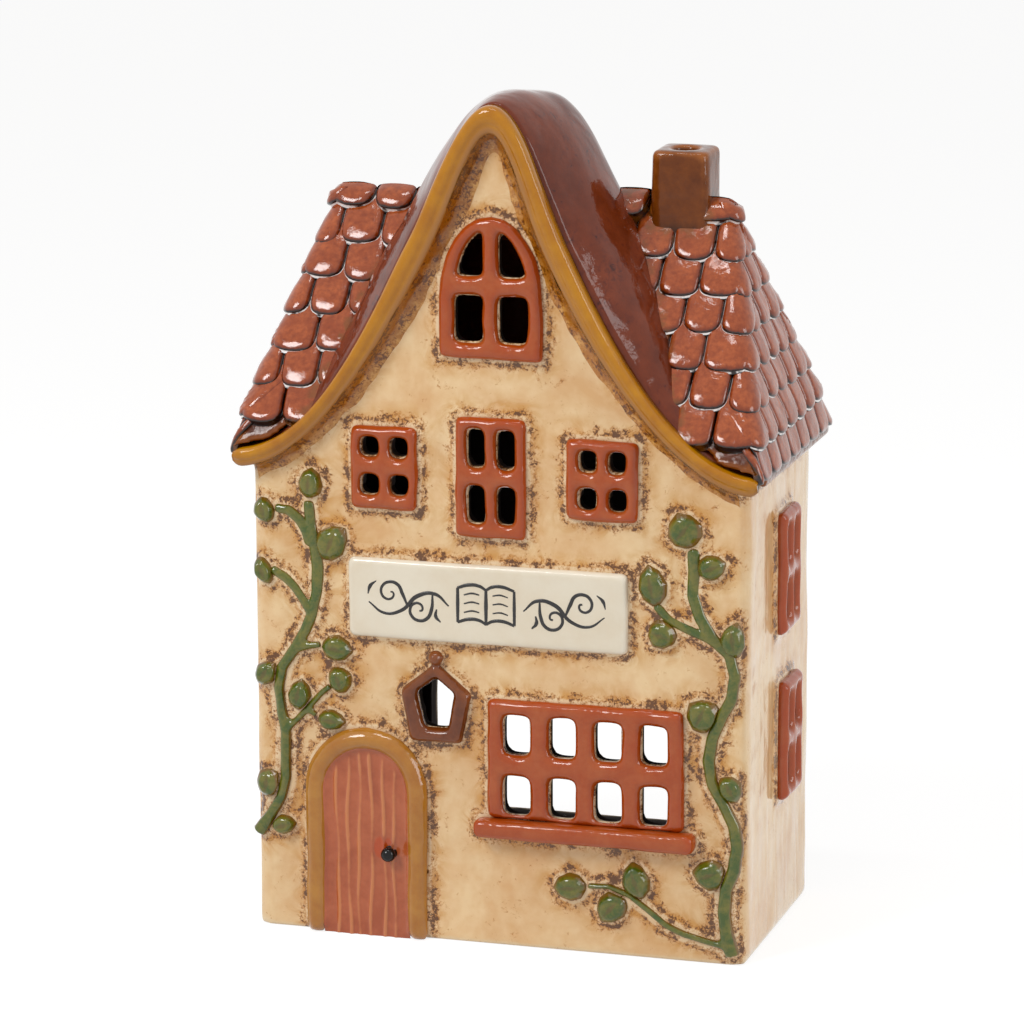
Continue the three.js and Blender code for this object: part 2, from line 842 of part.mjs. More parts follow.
// One course of scalloped tiles, in one strip round the roof from valley to valley
function courseStrip(number) {
  const courseZ = firstCourseZ + (number - 1) * coursePitch;
  const limitZ = (number === courseCount ? ridgeZ : ridgeCapZ) - seam;
  const topZ = Math.min(courseZ + coursePitch + tileLap, limitZ);
  const lapShare = coursePitch / (coursePitch + tileLap);
  const restOut = tileRise + (seam - tileRise) * lapShare + seam; // on the course below
  const loops = courseStations(courseZ, number % 2 === 0).map((station) => {
    const lowZ = courseZ + scallopLift(station.v);
    const joint = station.v === 0 ? tileGroove : 0;
    return [
      coursePoint(station, lowZ, restOut),
      coursePoint(station, lowZ, Math.max(tileRise - joint, restOut + seam)),
      coursePoint(station, topZ, seam),
    ];
  });
  return toSolid(loft(loops));
}

// The row under the first course, which hangs over the eaves at the sides and the back
function eaveStrip() {
  const lowestZ = slopeBaseZ - eaveTileDrop;
  const topZ = firstCourseZ + tileLap;
  const faces = ["left", "back", "right"];
  const stations = courseStations(lowestZ, true).filter(({ face }) => faces.includes(face));
  stations.unshift({ face: "left", share: 0, v: 0.5 });
  const loops = stations.map((station) => {
    const lowZ = lowestZ + scallopLift(station.v);
    const rise = station.v === 0 ? eaveTileRise / 2 : eaveTileRise;
    return [
      coursePoint(station, slopeBaseZ, 0).setZ(lowZ),
      coursePoint(station, slopeBaseZ, rise).setZ(lowZ),
      coursePoint(station, slopeBaseZ + eaveTileDrop, rise),
      coursePoint(station, topZ, eaveTileTopRise),
      coursePoint(station, topZ, 0),
    ];
  });
  const row = toSolid(loft(loops)).subtract(hippedBody(seam));
  return row.trimByPlane([0, 1, 0], -eaveHalfDepth);
}

// The top course closes over the ridge
function ridgeCap() {
  const above = boxSolid([-far, -far, ridgeCapZ], [far, far, far]);
  return hippedBody(ridgeCapThickness).intersect(above).subtract(hippedBody(seam));
}

// Courses are cut round the gable and the chimney, and what is left goes to the largest pieces
function tileCourses() {
  const cutters = gableGrown.add(chimneyShaft(seam));
  const courses = [];
  for (let number = 1; number <= courseCount; number++) {
    let strip = courseStrip(number);
    if (number === 1) {
      strip = strip.add(eaveStrip());
    }
    if (number === courseCount) {
      strip = strip.add(ridgeCap());
    }
    const pieces = piecesOf(strip.subtract(cutters));
    courses.push(["tile_course_" + number, pieces[0]]);
    if (number === courseCount) {
      courses.push(["tile_course_" + number + "_right", pieces[1]]);
    }
  }
  return courses;
}

// Door, plaque and sill
function doorSurround() {
  const outer = doorWidth / 2 + surroundWidth;
  const shape = archShape(doorX, 0, doorSpringZ, outer);
  const opening = archShape(doorX, -surroundWidth, doorSpringZ, doorWidth / 2);
  const arch = relief(shape, frontY, surroundProud, bargeRound, 2, 10);
  const hollow = toSolid(slab(opening, frontY - far, frontY + 1, 10));
  return arch.subtract(hollow).intersect(boxSolid([-far, -far, 0], [far, far, far]));
}

function door() {
  const shape = archShape(doorX, 0, doorSpringZ, doorWidth / 2 - seam);
  let leaf = toSolid(slab(shape, frontY - doorProud, frontY, 10));
  const plankWidth = doorWidth / plankCount;
  for (let i = 1; i < plankCount; i++) {
    const x = doorX - doorWidth / 2 + i * plankWidth;
    const groove = new THREE.BoxGeometry(plankGroove, plankGroove, far);
    groove.rotateZ(Math.PI / 4);
    groove.translate(x, frontY - doorProud, 0);
    leaf = leaf.subtract(toSolid(groove));
  }
  return leaf;
}

function doorKnob() {
  const neck = knobRadius * 0.6;
  const length = 2 * knobRadius;
  const profile = new THREE.Path();
  profile.moveTo(0, 0);
  profile.lineTo(neck, 0);
  profile.absarc(0, length - knobRadius + neck, knobRadius, -0.9, Math.PI / 2, false);
  const points = profile.getPoints(4);
  points[points.length - 1].x = 0;
  const knob = new THREE.LatheGeometry(points, 12);
  knob.rotateX(Math.PI);
  knob.translate(knobX, frontY - doorProud, knobZ);
  return knob;
}

function plaque() {
  const width = bodyWidth - plaqueFromLeft - plaqueFromRight;
  const x = -halfWidth + plaqueFromLeft;
  const shape = roundedRectangle(x, plaqueBaseZ, width, plaqueHeight, plaqueCorner);
  return relief(shape, frontY, plaqueProud, frameBevel);
}

function windowSill() {
  const { across, baseZ, width } = shopWindow;
  const full = width + 2 * sillOverhang;
  const shape = roundedRectangle(across - full / 2, baseZ - sillHeight, full, sillHeight, sillHeight / 3);
  return relief(shape, frontY, sillProud, bargeRound, 2);
}

function lanternFrame() {
  const body = relief(polygonShape(lanternOutline(0)), frontY, lanternProud, frameBevel);
  const light = polygonShape(lanternOutline(lanternBar));
  const frame = holed(body, light, frontY, lanternProud, frameBevel);
  const ball = new THREE.SphereGeometry(finialRadius, 10, 8);
  ball.translate(lanternX, frontY - finialRadius * 0.7, lanternApexZ + finialRadius * 0.8);
  const onWall = boxSolid([-far, -far, -far], [far, frontY, far]);
  return frame.add(toSolid(ball).intersect(onWall));
}

// Vines. Their points are distances in from the wall's side edge, and heights.
function vinePoint(side, [inset, z]) {
  return new THREE.Vector3(side * (halfWidth - inset), 0, z);
}

// Each stem and twig is a rounded ribbon on the wall
function ribbon(points, halfStart, halfEnd, proud, grow) {
  const curve = new THREE.CatmullRomCurve3(points);
  const steps = Math.max(4, Math.round(curve.getLength() / (2.6 * stemHalfWidth)));
  const backY = frontY + (grow ? 1 : 0);
  const loops = [];
  for (let i = 0; i <= steps; i++) {
    const t = i / steps;
    const centre = curve.getPointAt(t);
    const along = curve.getTangentAt(t);
    const half = halfStart + (halfEnd - halfStart) * t + grow;
    const high = (proud * (half + 1)) / (halfStart + 1) + grow;
    const profile = [
      [-half, 0],
      [-0.75 * half, -0.7 * high],
      [0, -high],
      [0.75 * half, -0.7 * high],
      [half, 0],
    ];
    loops.push(
      profile.map(([a, b]) => {
        const y = b === 0 ? backY : frontY + b;
        return new THREE.Vector3(centre.x + a * along.z, y, centre.z - a * along.x);
      }),
    );
  }
  return toSolid(loft(loops));
}

const leftStem = [
  [1, 24.3],
  [3.7, 28.2],
  [6.1, 31.7],
  [8.1, 37.1],
  [8.4, 43.5],
  [8.5, 51.3],
  [6.8, 60],
  [8, 67.9],
  [10.6, 71.4],
  [12.8, 74.6],
  [15.4, 80],
  [17.2, 88],
  [17, 96.4],
  [15.3, 106.4],
  [15.1, 109.6],
];
const leftTwigs = [
  [
    [15.6, 99],
    [13.2, 104.5],
    [9.8, 107.2],
    [6.7, 107.6],
  ],
  [
    [15, 82],
    [12.4, 86.4],
    [9, 90],
    [5.5, 92],
  ],
  [
    [12.4, 72.5],
    [15.4, 73.2],
    [18, 73.6],
  ],
  [
    [8.6, 51],
    [12, 54.6],
    [14.8, 57.6],
    [17.6, 61],
    [20.4, 63.4],
  ],
  [
    [14.4, 57.2],
    [15.8, 56],
    [16.8, 55.4],
  ],
];
const rightStem = [
  [2.9, 2.5],
  [4.7, 9.5],
  [5.2, 15.8],
  [4.5, 20.2],
  [2.3, 26.2],
  [2.1, 32.5],
  [4.1, 38.6],
  [6.9, 43.4],
  [8.9, 47.5],
  [9.2, 53.3],
  [8, 58.4],
  [5.5, 63.6],
  [3.3, 68.7],
  [2.8, 75],
  [5, 79.3],
  [8.4, 82],
  [11.4, 86.7],
  [13.4, 91.5],
  [13.4, 96.5],
  [12.6, 100.5],
  [13.4, 103.4],
];
const rightTwigs = [
  [
    [6, 80.4],
    [11, 82.6],
    [16.3, 84.6],
    [20.6, 87],
    [22.4, 89.2],
  ],
  [
    [4.1, 5],
    [9.7, 5.8],
    [16, 7.4],
    [22.3, 10.6],
    [26.6, 14.4],
    [31.2, 16.8],
    [36.3, 17.9],
    [39.8, 17.4],
  ],
];
// Each leaf: its foot, its tip and its half width
const leftLeaves = [
  [[15.4, 110.6], [16.2, 118.3], 2.6],
  [[6.1, 107.6], [1, 106], 2.7],
  [[17.6, 96], [24.6, 103.4], 3.3],
  [[5.2, 92.3], [1, 90.4], 3],
  [[18.4, 73.8], [26.4, 72.2], 2.7],
  [[5.6, 63.6], [1.4, 67.4], 2.9],
  [[12, 56.6], [12.8, 64.6], 2.6],
  [[20.4, 63.8], [25.8, 66.4], 2.9],
  [[17.2, 55], [24.2, 54.2], 2.2],
  [[6.6, 34.4], [1.6, 40.4], 3.1],
  [[4.4, 26.4], [11.2, 27.2], 2.1],
];
const rightLeaves = [
  [[13.8, 104.4], [17.4, 112.6], 3.7],
  [[12, 98.4], [5, 101], 2.6],
  [[22.4, 89.4], [24.6, 99.4], 3],
  [[18.8, 85.2], [23.4, 79], 3],
  [[4.4, 77], [2.4, 86.6], 2.7],
  [[7.2, 60], [14.2, 65.6], 3.6],
  [[6.4, 43.2], [1, 46.6], 3],
  [[4.6, 22.4], [13.2, 23.2], 3.2],
  [[26.4, 15.2], [28.4, 24.6], 3],
  [[31, 16], [36.2, 8.6], 3.1],
  [[40.1, 17.2], [48.6, 16.4], 3],
];

function vineStem(side, stem, twigs, grow) {
  const placed = (points) => points.map((point) => vinePoint(side, point));
  let solid = ribbon(placed(stem), stemHalfWidth, stemTipHalfWidth, stemProud, grow);
  for (const twig of twigs) {
    const twigEnd = 0.8 * stemTipHalfWidth;
    solid = solid.add(ribbon(placed(twig), stemTipHalfWidth, twigEnd, 0.8 * stemProud, grow));
  }
  return solid;
}

// A pointed oval, thick at its edge and crowned along its middle
function leaf(side, [footPoint, tipPoint, half]) {
  const foot = vinePoint(side, footPoint);
  const along = vinePoint(side, tipPoint).sub(foot);
  const length = along.length();
  along.normalize();
  const stations = [
    [0, 0.25],
    [0.18, 0.82],
    [0.46, 1],
    [0.8, 0.66],
  ];
  const right = stations.map(([share, width]) => [share * length, width * half * leafFullness]);
  const left = right.slice(1).reverse().map(([a, b]) => [a, -b]);
  const outline = [...right, [length, 0], ...left, [0, -0.25 * half * leafFullness]];
  const ring = (y, scale) =>
    outline.map(([a, b]) => {
      const reach = length / 2 + (a - length / 2) * scale;
      const across = b * scale;
      const x = foot.x + along.x * reach + along.z * across;
      const z = foot.z + along.z * reach - along.x * across;
      return new THREE.Vector3(x, y, z);
    });
  const rings = [
    ring(frontY, 1),
    ring(frontY - leafEdge, 1),
    ring(frontY - leafCrown, 0.5),
  ];
  return toSolid(loft(rings));
}

// Tealight: a metal cup, the wax, and a wick on its tab
function tealightPlace(geometry) {
  geometry.rotateX(Math.PI / 2);
  geometry.translate(0, tealightY, floorThickness + standGap);
  return geometry;
}

function lathed(profile, segments) {
  const points = profile.map(([r, z]) => new THREE.Vector2(r, z));
  return tealightPlace(new THREE.LatheGeometry(points, segments));
}

function tealightCup() {
  return lathed(
    [
      [0, 0],
      [cupFootRadius, 0],
      [cupRadius, cupHeight - cupLip],
      [cupRadius + cupLip, cupHeight],
      [cupRadius - cupWall, cupHeight],
      [cupFootRadius - cupWall, cupWall],
      [0, cupWall],
    ],
    32,
  );
}

function wax() {
  const low = cupWall + 0.1;
  const outer = cupFootRadius - cupWall - seam;
  const tabRoom = tabRadius + seam;
  const tabTop = low + tabThickness + 0.1;
  const bore = wickRadius + 0.1;
  return lathed(
    [
      [tabRoom, low],
      [outer, low],
      [outer, waxTop - 0.6],
      [outer - 0.6, waxTop],
      [bore, waxTop - 0.4],
      [bore, tabTop],
      [tabRoom, tabTop],
      [tabRoom, low],
    ],
    32,
  );
}

function wickTab() {
  const low = cupWall + 0.1;
  return lathed(
    [
      [0, low],
      [tabRadius, low],
      [tabRadius, low + tabThickness],
      [0, low + tabThickness],
    ],
    20,
  );
}

function wick() {
  const low = cupWall + 0.1 + tabThickness;
  return lathed(
    [
      [0, low],
      [wickRadius, low],
      [wickRadius, wickTop - wickRadius / 2],
      [0, wickTop],
    ],
    8,
  );
}

// The assembly
const house = new THREE.Group();
const tealight = new THREE.Group();

function add(group, name, shape, glaze) {
  const geometry = shape instanceof THREE.BufferGeometry ? shape : toGeometry(shape);
  const mesh = new THREE.Mesh(geometry, new THREE.MeshStandardMaterial(glaze));
  mesh.name = name;
  group.add(mesh);
}

add(house, "floor_slab", floorSlab(), glazes.cream);
add(house, "front_wall", frontWall(), glazes.cream);
add(house, "rear_wall", rearWall(), glazes.cream);
add(house, "left_wall", sideWall(-1), glazes.cream);
add(house, "right_wall", sideWall(1), glazes.cream);
add(house, "main_roof", mainRoof(), glazes.redBrown);
add(house, "gable_roof", gableRoof(), glazes.redBrown);
add(house, "bargeboard", bargeboard(), glazes.ochre);
add(house, "chimney", chimney(), glazes.darkBrown);
for (const [name, course] of tileCourses()) {
  add(house, name, course, glazes.tile);
}
for (const window of frontWindows) {
  add(house, window.name, windowFrame(window, frontY, frontProud), glazes.terracotta);
}
for (const window of sideWindows) {
  add(house, "left_" + window.name, sideWindow(window, -1), glazes.terracotta);
  add(house, "right_" + window.name, sideWindow(window, 1), glazes.terracotta);
}
add(house, "shop_window_sill", windowSill(), glazes.terracotta);
add(house, "lantern_window", lanternFrame(), glazes.darkBrown);
add(house, "door_surround", doorSurround(), glazes.ochre);
add(house, "door", door(), glazes.door);
add(house, "door_knob", doorKnob(), glazes.black);
add(house, "sign_plaque", plaque(), glazes.ivory);

for (const [name, side, stem, twigs, leaves] of [
  ["left", -1, leftStem, leftTwigs, leftLeaves],
  ["right", 1, rightStem, rightTwigs, rightLeaves],
]) {
  add(house, name + "_vine_stem", vineStem(side, stem, twigs, 0), glazes.leaf);
  const clearOfStem = vineStem(side, stem, twigs, seam);
  leaves.forEach((place, i) => {
    const [clear] = piecesOf(leaf(side, place).subtract(clearOfStem));
    add(house, name + "_leaf_" + (i + 1), clear, glazes.leaf);
  });
}

add(tealight, "tealight_cup", tealightCup(), glazes.aluminium);
add(tealight, "tealight_wax", wax(), glazes.wax);
add(tealight, "wick_tab", wickTab(), glazes.steel);
add(tealight, "wick", wick(), glazes.cotton);
house.add(tealight);

export default house;
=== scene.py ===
import math
import random

import bpy
import numpy as np
from mathutils import Matrix, Vector, kdtree


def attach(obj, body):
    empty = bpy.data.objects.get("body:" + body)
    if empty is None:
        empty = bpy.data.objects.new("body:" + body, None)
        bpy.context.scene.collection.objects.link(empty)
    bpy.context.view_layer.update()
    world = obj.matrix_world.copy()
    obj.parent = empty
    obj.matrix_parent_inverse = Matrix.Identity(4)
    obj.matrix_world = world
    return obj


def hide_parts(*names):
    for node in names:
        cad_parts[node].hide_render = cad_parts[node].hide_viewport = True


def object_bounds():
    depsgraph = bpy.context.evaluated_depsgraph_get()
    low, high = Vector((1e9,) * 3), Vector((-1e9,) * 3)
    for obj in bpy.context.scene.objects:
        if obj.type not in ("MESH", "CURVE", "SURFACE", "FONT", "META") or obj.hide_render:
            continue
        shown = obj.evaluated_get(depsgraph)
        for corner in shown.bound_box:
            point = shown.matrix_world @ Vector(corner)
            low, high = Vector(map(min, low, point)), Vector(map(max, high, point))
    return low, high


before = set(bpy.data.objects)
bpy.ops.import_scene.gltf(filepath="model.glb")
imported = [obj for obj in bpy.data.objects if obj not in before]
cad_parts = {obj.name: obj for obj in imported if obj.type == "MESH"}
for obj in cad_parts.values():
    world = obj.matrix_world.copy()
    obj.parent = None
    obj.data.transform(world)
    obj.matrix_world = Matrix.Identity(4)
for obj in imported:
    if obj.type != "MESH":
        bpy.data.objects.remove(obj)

# Tealight house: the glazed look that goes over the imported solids. Sizes here are in millimetres.
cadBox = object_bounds()
scene = bpy.context.scene
scene.view_settings.view_transform = "Standard"
mm = 0.001
chance = random.Random(23)


def say(text):
    print("house:", text)


# Camera and lamps
view = {"lens": 169.07, "target": (4.095, -33.0, 110.04), "distance": 1164.57,
        "azimuth": 16.87, "pitch": 12.77, "roll": -0.198}


def direction(azimuth, elevation):  # from the house, azimuth 0 is its front
    return Vector((math.sin(azimuth) * math.cos(elevation), -math.cos(azimuth) * math.cos(elevation),
                   math.sin(elevation)))


def placeCamera():
    azimuth, pitch, roll = (math.radians(view[k]) for k in ("azimuth", "pitch", "roll"))
    back = direction(azimuth, pitch)
    right = Vector((math.cos(azimuth), math.sin(azimuth), 0))
    up = back.cross(right)
    right, up = (math.cos(roll) * right + math.sin(roll) * up, math.cos(roll) * up - math.sin(roll) * right)
    lens = bpy.data.cameras.new("photoCamera")
    lens.lens = view["lens"]
    lens.sensor_width = 36
    lens.sensor_fit = "HORIZONTAL"
    lens.clip_start = 0.05
    lens.clip_end = 50
    camera = bpy.data.objects.new("photoCamera", lens)
    scene.collection.objects.link(camera)
    place = (Vector(view["target"]) + view["distance"] * back) * mm
    camera.matrix_world = Matrix.Translation(place) @ Matrix((right, up, back)).transposed().to_4x4()
    scene.camera = camera


placeCamera()

lamps = [  # name, azimuth, elevation, distance, width, height, watts
    ("keyBox", -34, 40, 900, 300, 290, 4.2),
    ("topStrip", 8, 80, 800, 300, 60, 0.8),
    ("rightPanel", 80, 16, 900, 300, 520, 2.3),
]


def hangLamps():
    aim = Vector((0, 0, 100)) * mm
    for name, azimuth, elevation, distance, width, height, watts in lamps:
        away = direction(math.radians(azimuth), math.radians(elevation))
        light = bpy.data.lights.new(name, "AREA")
        light.shape = "RECTANGLE"
        light.size, light.size_y = width * mm, height * mm
        light.energy = watts
        lamp = bpy.data.objects.new(name, light)
        scene.collection.objects.link(lamp)
        lamp.location = aim + away * distance * mm
        lamp.rotation_euler = away.to_track_quat("Z", "Y").to_euler()


hangLamps()


# Node helpers
def newNode(tree, kind, values=None, **settings):
    made = tree.nodes.new(kind)
    for name, value in settings.items():
        setattr(made, name, value)
    for name, value in (values or {}).items():
        socket = made.inputs[name]
        if isinstance(value, bpy.types.NodeSocket):
            tree.links.new(value, socket)
        else:
            socket.default_value = value
    return made


def mixColor(tree, share, first, second, blend="MIX"):
    made = newNode(tree, "ShaderNodeMix", {0: share, 6: first, 7: second}, data_type="RGBA", blend_type=blend)
    return made.outputs[2]


def spread(tree, value, low, high, toLow=0.0, toHigh=1.0, soft=True):
    made = newNode(tree, "ShaderNodeMapRange", {0: value, 1: low, 2: high, 3: toLow, 4: toHigh},
                   interpolation_type="SMOOTHSTEP" if soft else "LINEAR")
    return made.outputs[0]


def sums(tree, operation, first, second=0.0, third=0.0):
    made = newNode(tree, "ShaderNodeMath", {0: first, 1: second, 2: third}, operation=operation)
    return made.outputs[0]


def times(tree, first, second):
    return sums(tree, "MULTIPLY", first, second)


def timesPlus(tree, first, second, third):
    return sums(tree, "MULTIPLY_ADD", first, second, third)


def shade(red, green, blue):  # screen colour to the linear one that a shader takes
    def linear(c):
        c /= 255
        return c / 12.92 if c <= 0.04045 else ((c + 0.055) / 1.055) ** 2.4
    return (linear(red), linear(green), linear(blue), 1.0)


def newGroup(name, inputs, outputs):  # four numbers in brackets are a colour, one number is a value
    tree = bpy.data.node_groups.new(name, "ShaderNodeTree")
    for label, start in inputs.items():
        kind = "NodeSocketColor" if isinstance(start, tuple) else "NodeSocketFloat"
        tree.interface.new_socket(name=label, in_out="INPUT", socket_type=kind).default_value = start
    for label in outputs:
        kind = "NodeSocketColor" if label == "Color" else "NodeSocketFloat"
        tree.interface.new_socket(name=label, in_out="OUTPUT", socket_type=kind)
    return tree, tree.nodes.new("NodeGroupInput").outputs, tree.nodes.new("NodeGroupOutput").inputs


def noiseOf(tree, scale, detail=3.0, rough=0.55, warp=0.0, stretch=None):
    place = tree.nodes.new("ShaderNodeTexCoord").outputs["Object"]
    if stretch:
        place = newNode(tree, "ShaderNodeVectorMath", {0: place, 1: stretch}, operation="MULTIPLY").outputs[0]
    return newNode(tree, "ShaderNodeTexNoise", {"Vector": place, "Scale": scale, "Detail": detail,
                                                "Roughness": rough, "Distortion": warp}).outputs[0]


def wanderOf(tree, scale, detail):  # makes the border of a colour uneven
    return times(tree, sums(tree, "SUBTRACT", noiseOf(tree, scale, detail), 0.5), 0.5)


# Cloudy glaze: thick and thin places of one colour
def makeCloudGroup():
    tree, given, out = newGroup("glazeClouds", {
        "Thin": (0.8, 0.7, 0.5, 1), "Thick": (0.6, 0.4, 0.2, 1), "Scale": 60.0, "Contrast": 0.5, "Bias": 0.5},
        ["Color"])
    broad = noiseOf(tree, given["Scale"], 4, 0.6, 0.6)
    fine = noiseOf(tree, times(tree, given["Scale"], 5.5), 3, 0.6)
    both = timesPlus(tree, fine, 0.3, times(tree, broad, 0.7))
    centred = sums(tree, "SUBTRACT", both, 0.5)
    steep = times(tree, centred, times(tree, given["Contrast"], 9.0))
    share = newNode(tree, "ShaderNodeClamp", {0: sums(tree, "ADD", steep, given["Bias"])}).outputs[0]
    tree.links.new(mixColor(tree, share, given["Thin"], given["Thick"]), out["Color"])
    return tree


# Iron flecks with a rusty halo, as many as Amount says
def makeFleckGroup():
    tree, given, out = newGroup("ironFlecks", {
        "Color": (1, 1, 1, 1), "Fleck": (0.05, 0.02, 0.01, 1), "Halo": (0.3, 0.13, 0.03, 1), "Amount": 0.5,
        "Scale": 700.0}, ["Color"])
    grain = noiseOf(tree, given["Scale"], 3, 0.62, 0.8)
    patch = noiseOf(tree, times(tree, given["Scale"], 0.16), 3, 0.6, 1.0)
    gathered = timesPlus(tree, patch, 0.7, times(tree, grain, 0.65))
    level = timesPlus(tree, given["Amount"], 0.26, gathered)
    halo = spread(tree, level, 0.79, 0.93)
    core = spread(tree, level, 0.92, 0.97)
    tinted = mixColor(tree, times(tree, halo, 0.75), given["Color"], given["Halo"])
    tree.links.new(mixColor(tree, times(tree, core, 0.86), tinted, given["Fleck"]), out["Color"])
    return tree


# Glaze that runs thin over edges and gathers in hollows. Rim is +1 on an edge and -1 in a hollow.
def makeBreakGroup():
    tree, given, out = newGroup("glazeBreak", {
        "Color": (1, 1, 1, 1), "Rim": 0.0, "Edge": (0.8, 0.5, 0.3, 1), "Edge Share": 0.5, "Pool": (0.2, 0.1, 0.05, 1),
        "Pool Share": 0.5}, ["Color"])
    rim = sums(tree, "ADD", given["Rim"], wanderOf(tree, 420.0, 2))
    edges = times(tree, spread(tree, rim, 0.25, 0.95), given["Edge Share"])
    pools = times(tree, spread(tree, times(tree, rim, -1.0), 0.15, 0.9), given["Pool Share"])
    pooled = mixColor(tree, pools, given["Color"], given["Pool"])
    tree.links.new(mixColor(tree, edges, pooled, given["Edge"]), out["Color"])
    return tree


# The skin of a fired glaze: slow ripples, a little orange peel, and gloss that comes and goes
def makeSkinGroup():
    tree, given, out = newGroup("glazeSkin", {
        "Ripple Scale": 90.0, "Ripple": 0.5, "Peel": 0.1, "Gloss": 0.12, "Dulling": 0.1}, ["Height", "Roughness"])
    slow = noiseOf(tree, given["Ripple Scale"], 2, 0.5, 0.4)
    peel = noiseOf(tree, times(tree, given["Ripple Scale"], 14.0), 2, 0.5)
    high = timesPlus(tree, slow, given["Ripple"], times(tree, peel, given["Peel"]))
    tree.links.new(high, out["Height"])
    worn = spread(tree, noiseOf(tree, 150.0, 4, 0.65), 0.42, 0.75)
    tree.links.new(timesPlus(tree, worn, given["Dulling"], given["Gloss"]), out["Roughness"])
    return tree


cloudGroup, fleckGroup, breakGroup, skinGroup = makeCloudGroup(), makeFleckGroup(), makeBreakGroup(), makeSkinGroup()
say("glaze groups made")


def useGroup(tree, group, values):
    return newNode(tree, "ShaderNodeGroup", values, node_tree=group).outputs


def attributeOf(tree, name):
    return newNode(tree, "ShaderNodeAttribute", attribute_name=name, attribute_type="GEOMETRY").outputs["Fac"]


def cloudsOf(tree, thin, thick, scale, contrast, bias=0.5):
    return useGroup(tree, cloudGroup, {"Thin": shade(*thin), "Thick": shade(*thick), "Scale": scale,
                                       "Contrast": contrast, "Bias": bias})["Color"]


def skinOf(tree, scale, wave, peel, gloss, dulling):
    return useGroup(tree, skinGroup, {"Ripple Scale": scale, "Ripple": wave, "Peel": peel, "Gloss": gloss,
                                      "Dulling": dulling})


def flecksOf(tree, color, fleck, halo, amount, scale):
    return useGroup(tree, fleckGroup, {"Color": color, "Fleck": shade(*fleck), "Halo": shade(*halo),
                                       "Amount": amount, "Scale": scale})["Color"]


def breakOf(tree, color, edge, edgeShare, pool, poolShare):
    values = {"Color": color, "Rim": attributeOf(tree, "rim"), "Edge": shade(*edge), "Edge Share": edgeShare,
              "Pool": shade(*pool), "Pool Share": poolShare}
    return useGroup(tree, breakGroup, values)["Color"]


def startMaterial(name):
    material = bpy.data.materials.new(name)
    material.use_nodes = True
    tree = material.node_tree
    tree.nodes.clear()
    shader = tree.nodes.new("ShaderNodeBsdfPrincipled")
    sheet = tree.nodes.new("ShaderNodeOutputMaterial")
    tree.links.new(shader.outputs[0], sheet.inputs[0])
    return material, tree, shader


def finishGlaze(tree, shader, color, skin, bump, coat=0.0, shine=0.45):
    tree.links.new(color, shader.inputs["Base Color"])
    tree.links.new(skin["Roughness"], shader.inputs["Roughness"])
    lifted = newNode(tree, "ShaderNodeBump", {"Strength": 1.0, "Distance": bump * mm, "Height": skin["Height"]})
    tree.links.new(lifted.outputs[0], shader.inputs["Normal"])
    shader.inputs["Specular IOR Level"].default_value = shine
    shader.inputs["Coat Weight"].default_value = coat
    shader.inputs["Coat Roughness"].default_value = 0.03


# Glazes from recipes: whatever a recipe leaves out is as in common
common = {"scale": 70.0, "contrast": 0.5, "bias": 0.5, "edgeShare": 0.6, "poolShare": 0.6, "fleckScale": 1300.0,
          "ripple": 90.0, "wave": 0.6, "peel": 0.05, "gloss": 0.1, "dulling": 0.1, "bump": 0.5, "coat": 0.2,
          "shine": 0.45, "also": {}}


def makeGlaze(name, own):
    recipe = {**common, **own}
    material, tree, shader = startMaterial(name)
    color = cloudsOf(tree, *(recipe[k] for k in ("thin", "thick", "scale", "contrast", "bias")))
    if "edge" in recipe:
        color = breakOf(tree, color, *(recipe[k] for k in ("edge", "edgeShare", "pool", "poolShare")))
    if "fleck" in recipe:
        color = flecksOf(tree, color, *(recipe[k] for k in ("fleck", "halo", "flecks", "fleckScale")))
    skin = skinOf(tree, *(recipe[k] for k in ("ripple", "wave", "peel", "gloss", "dulling")))
    finishGlaze(tree, shader, color, skin, recipe["bump"], recipe["coat"], recipe["shine"])
    for socket, value in recipe["also"].items():
        shader.inputs[socket].default_value = value
    return material


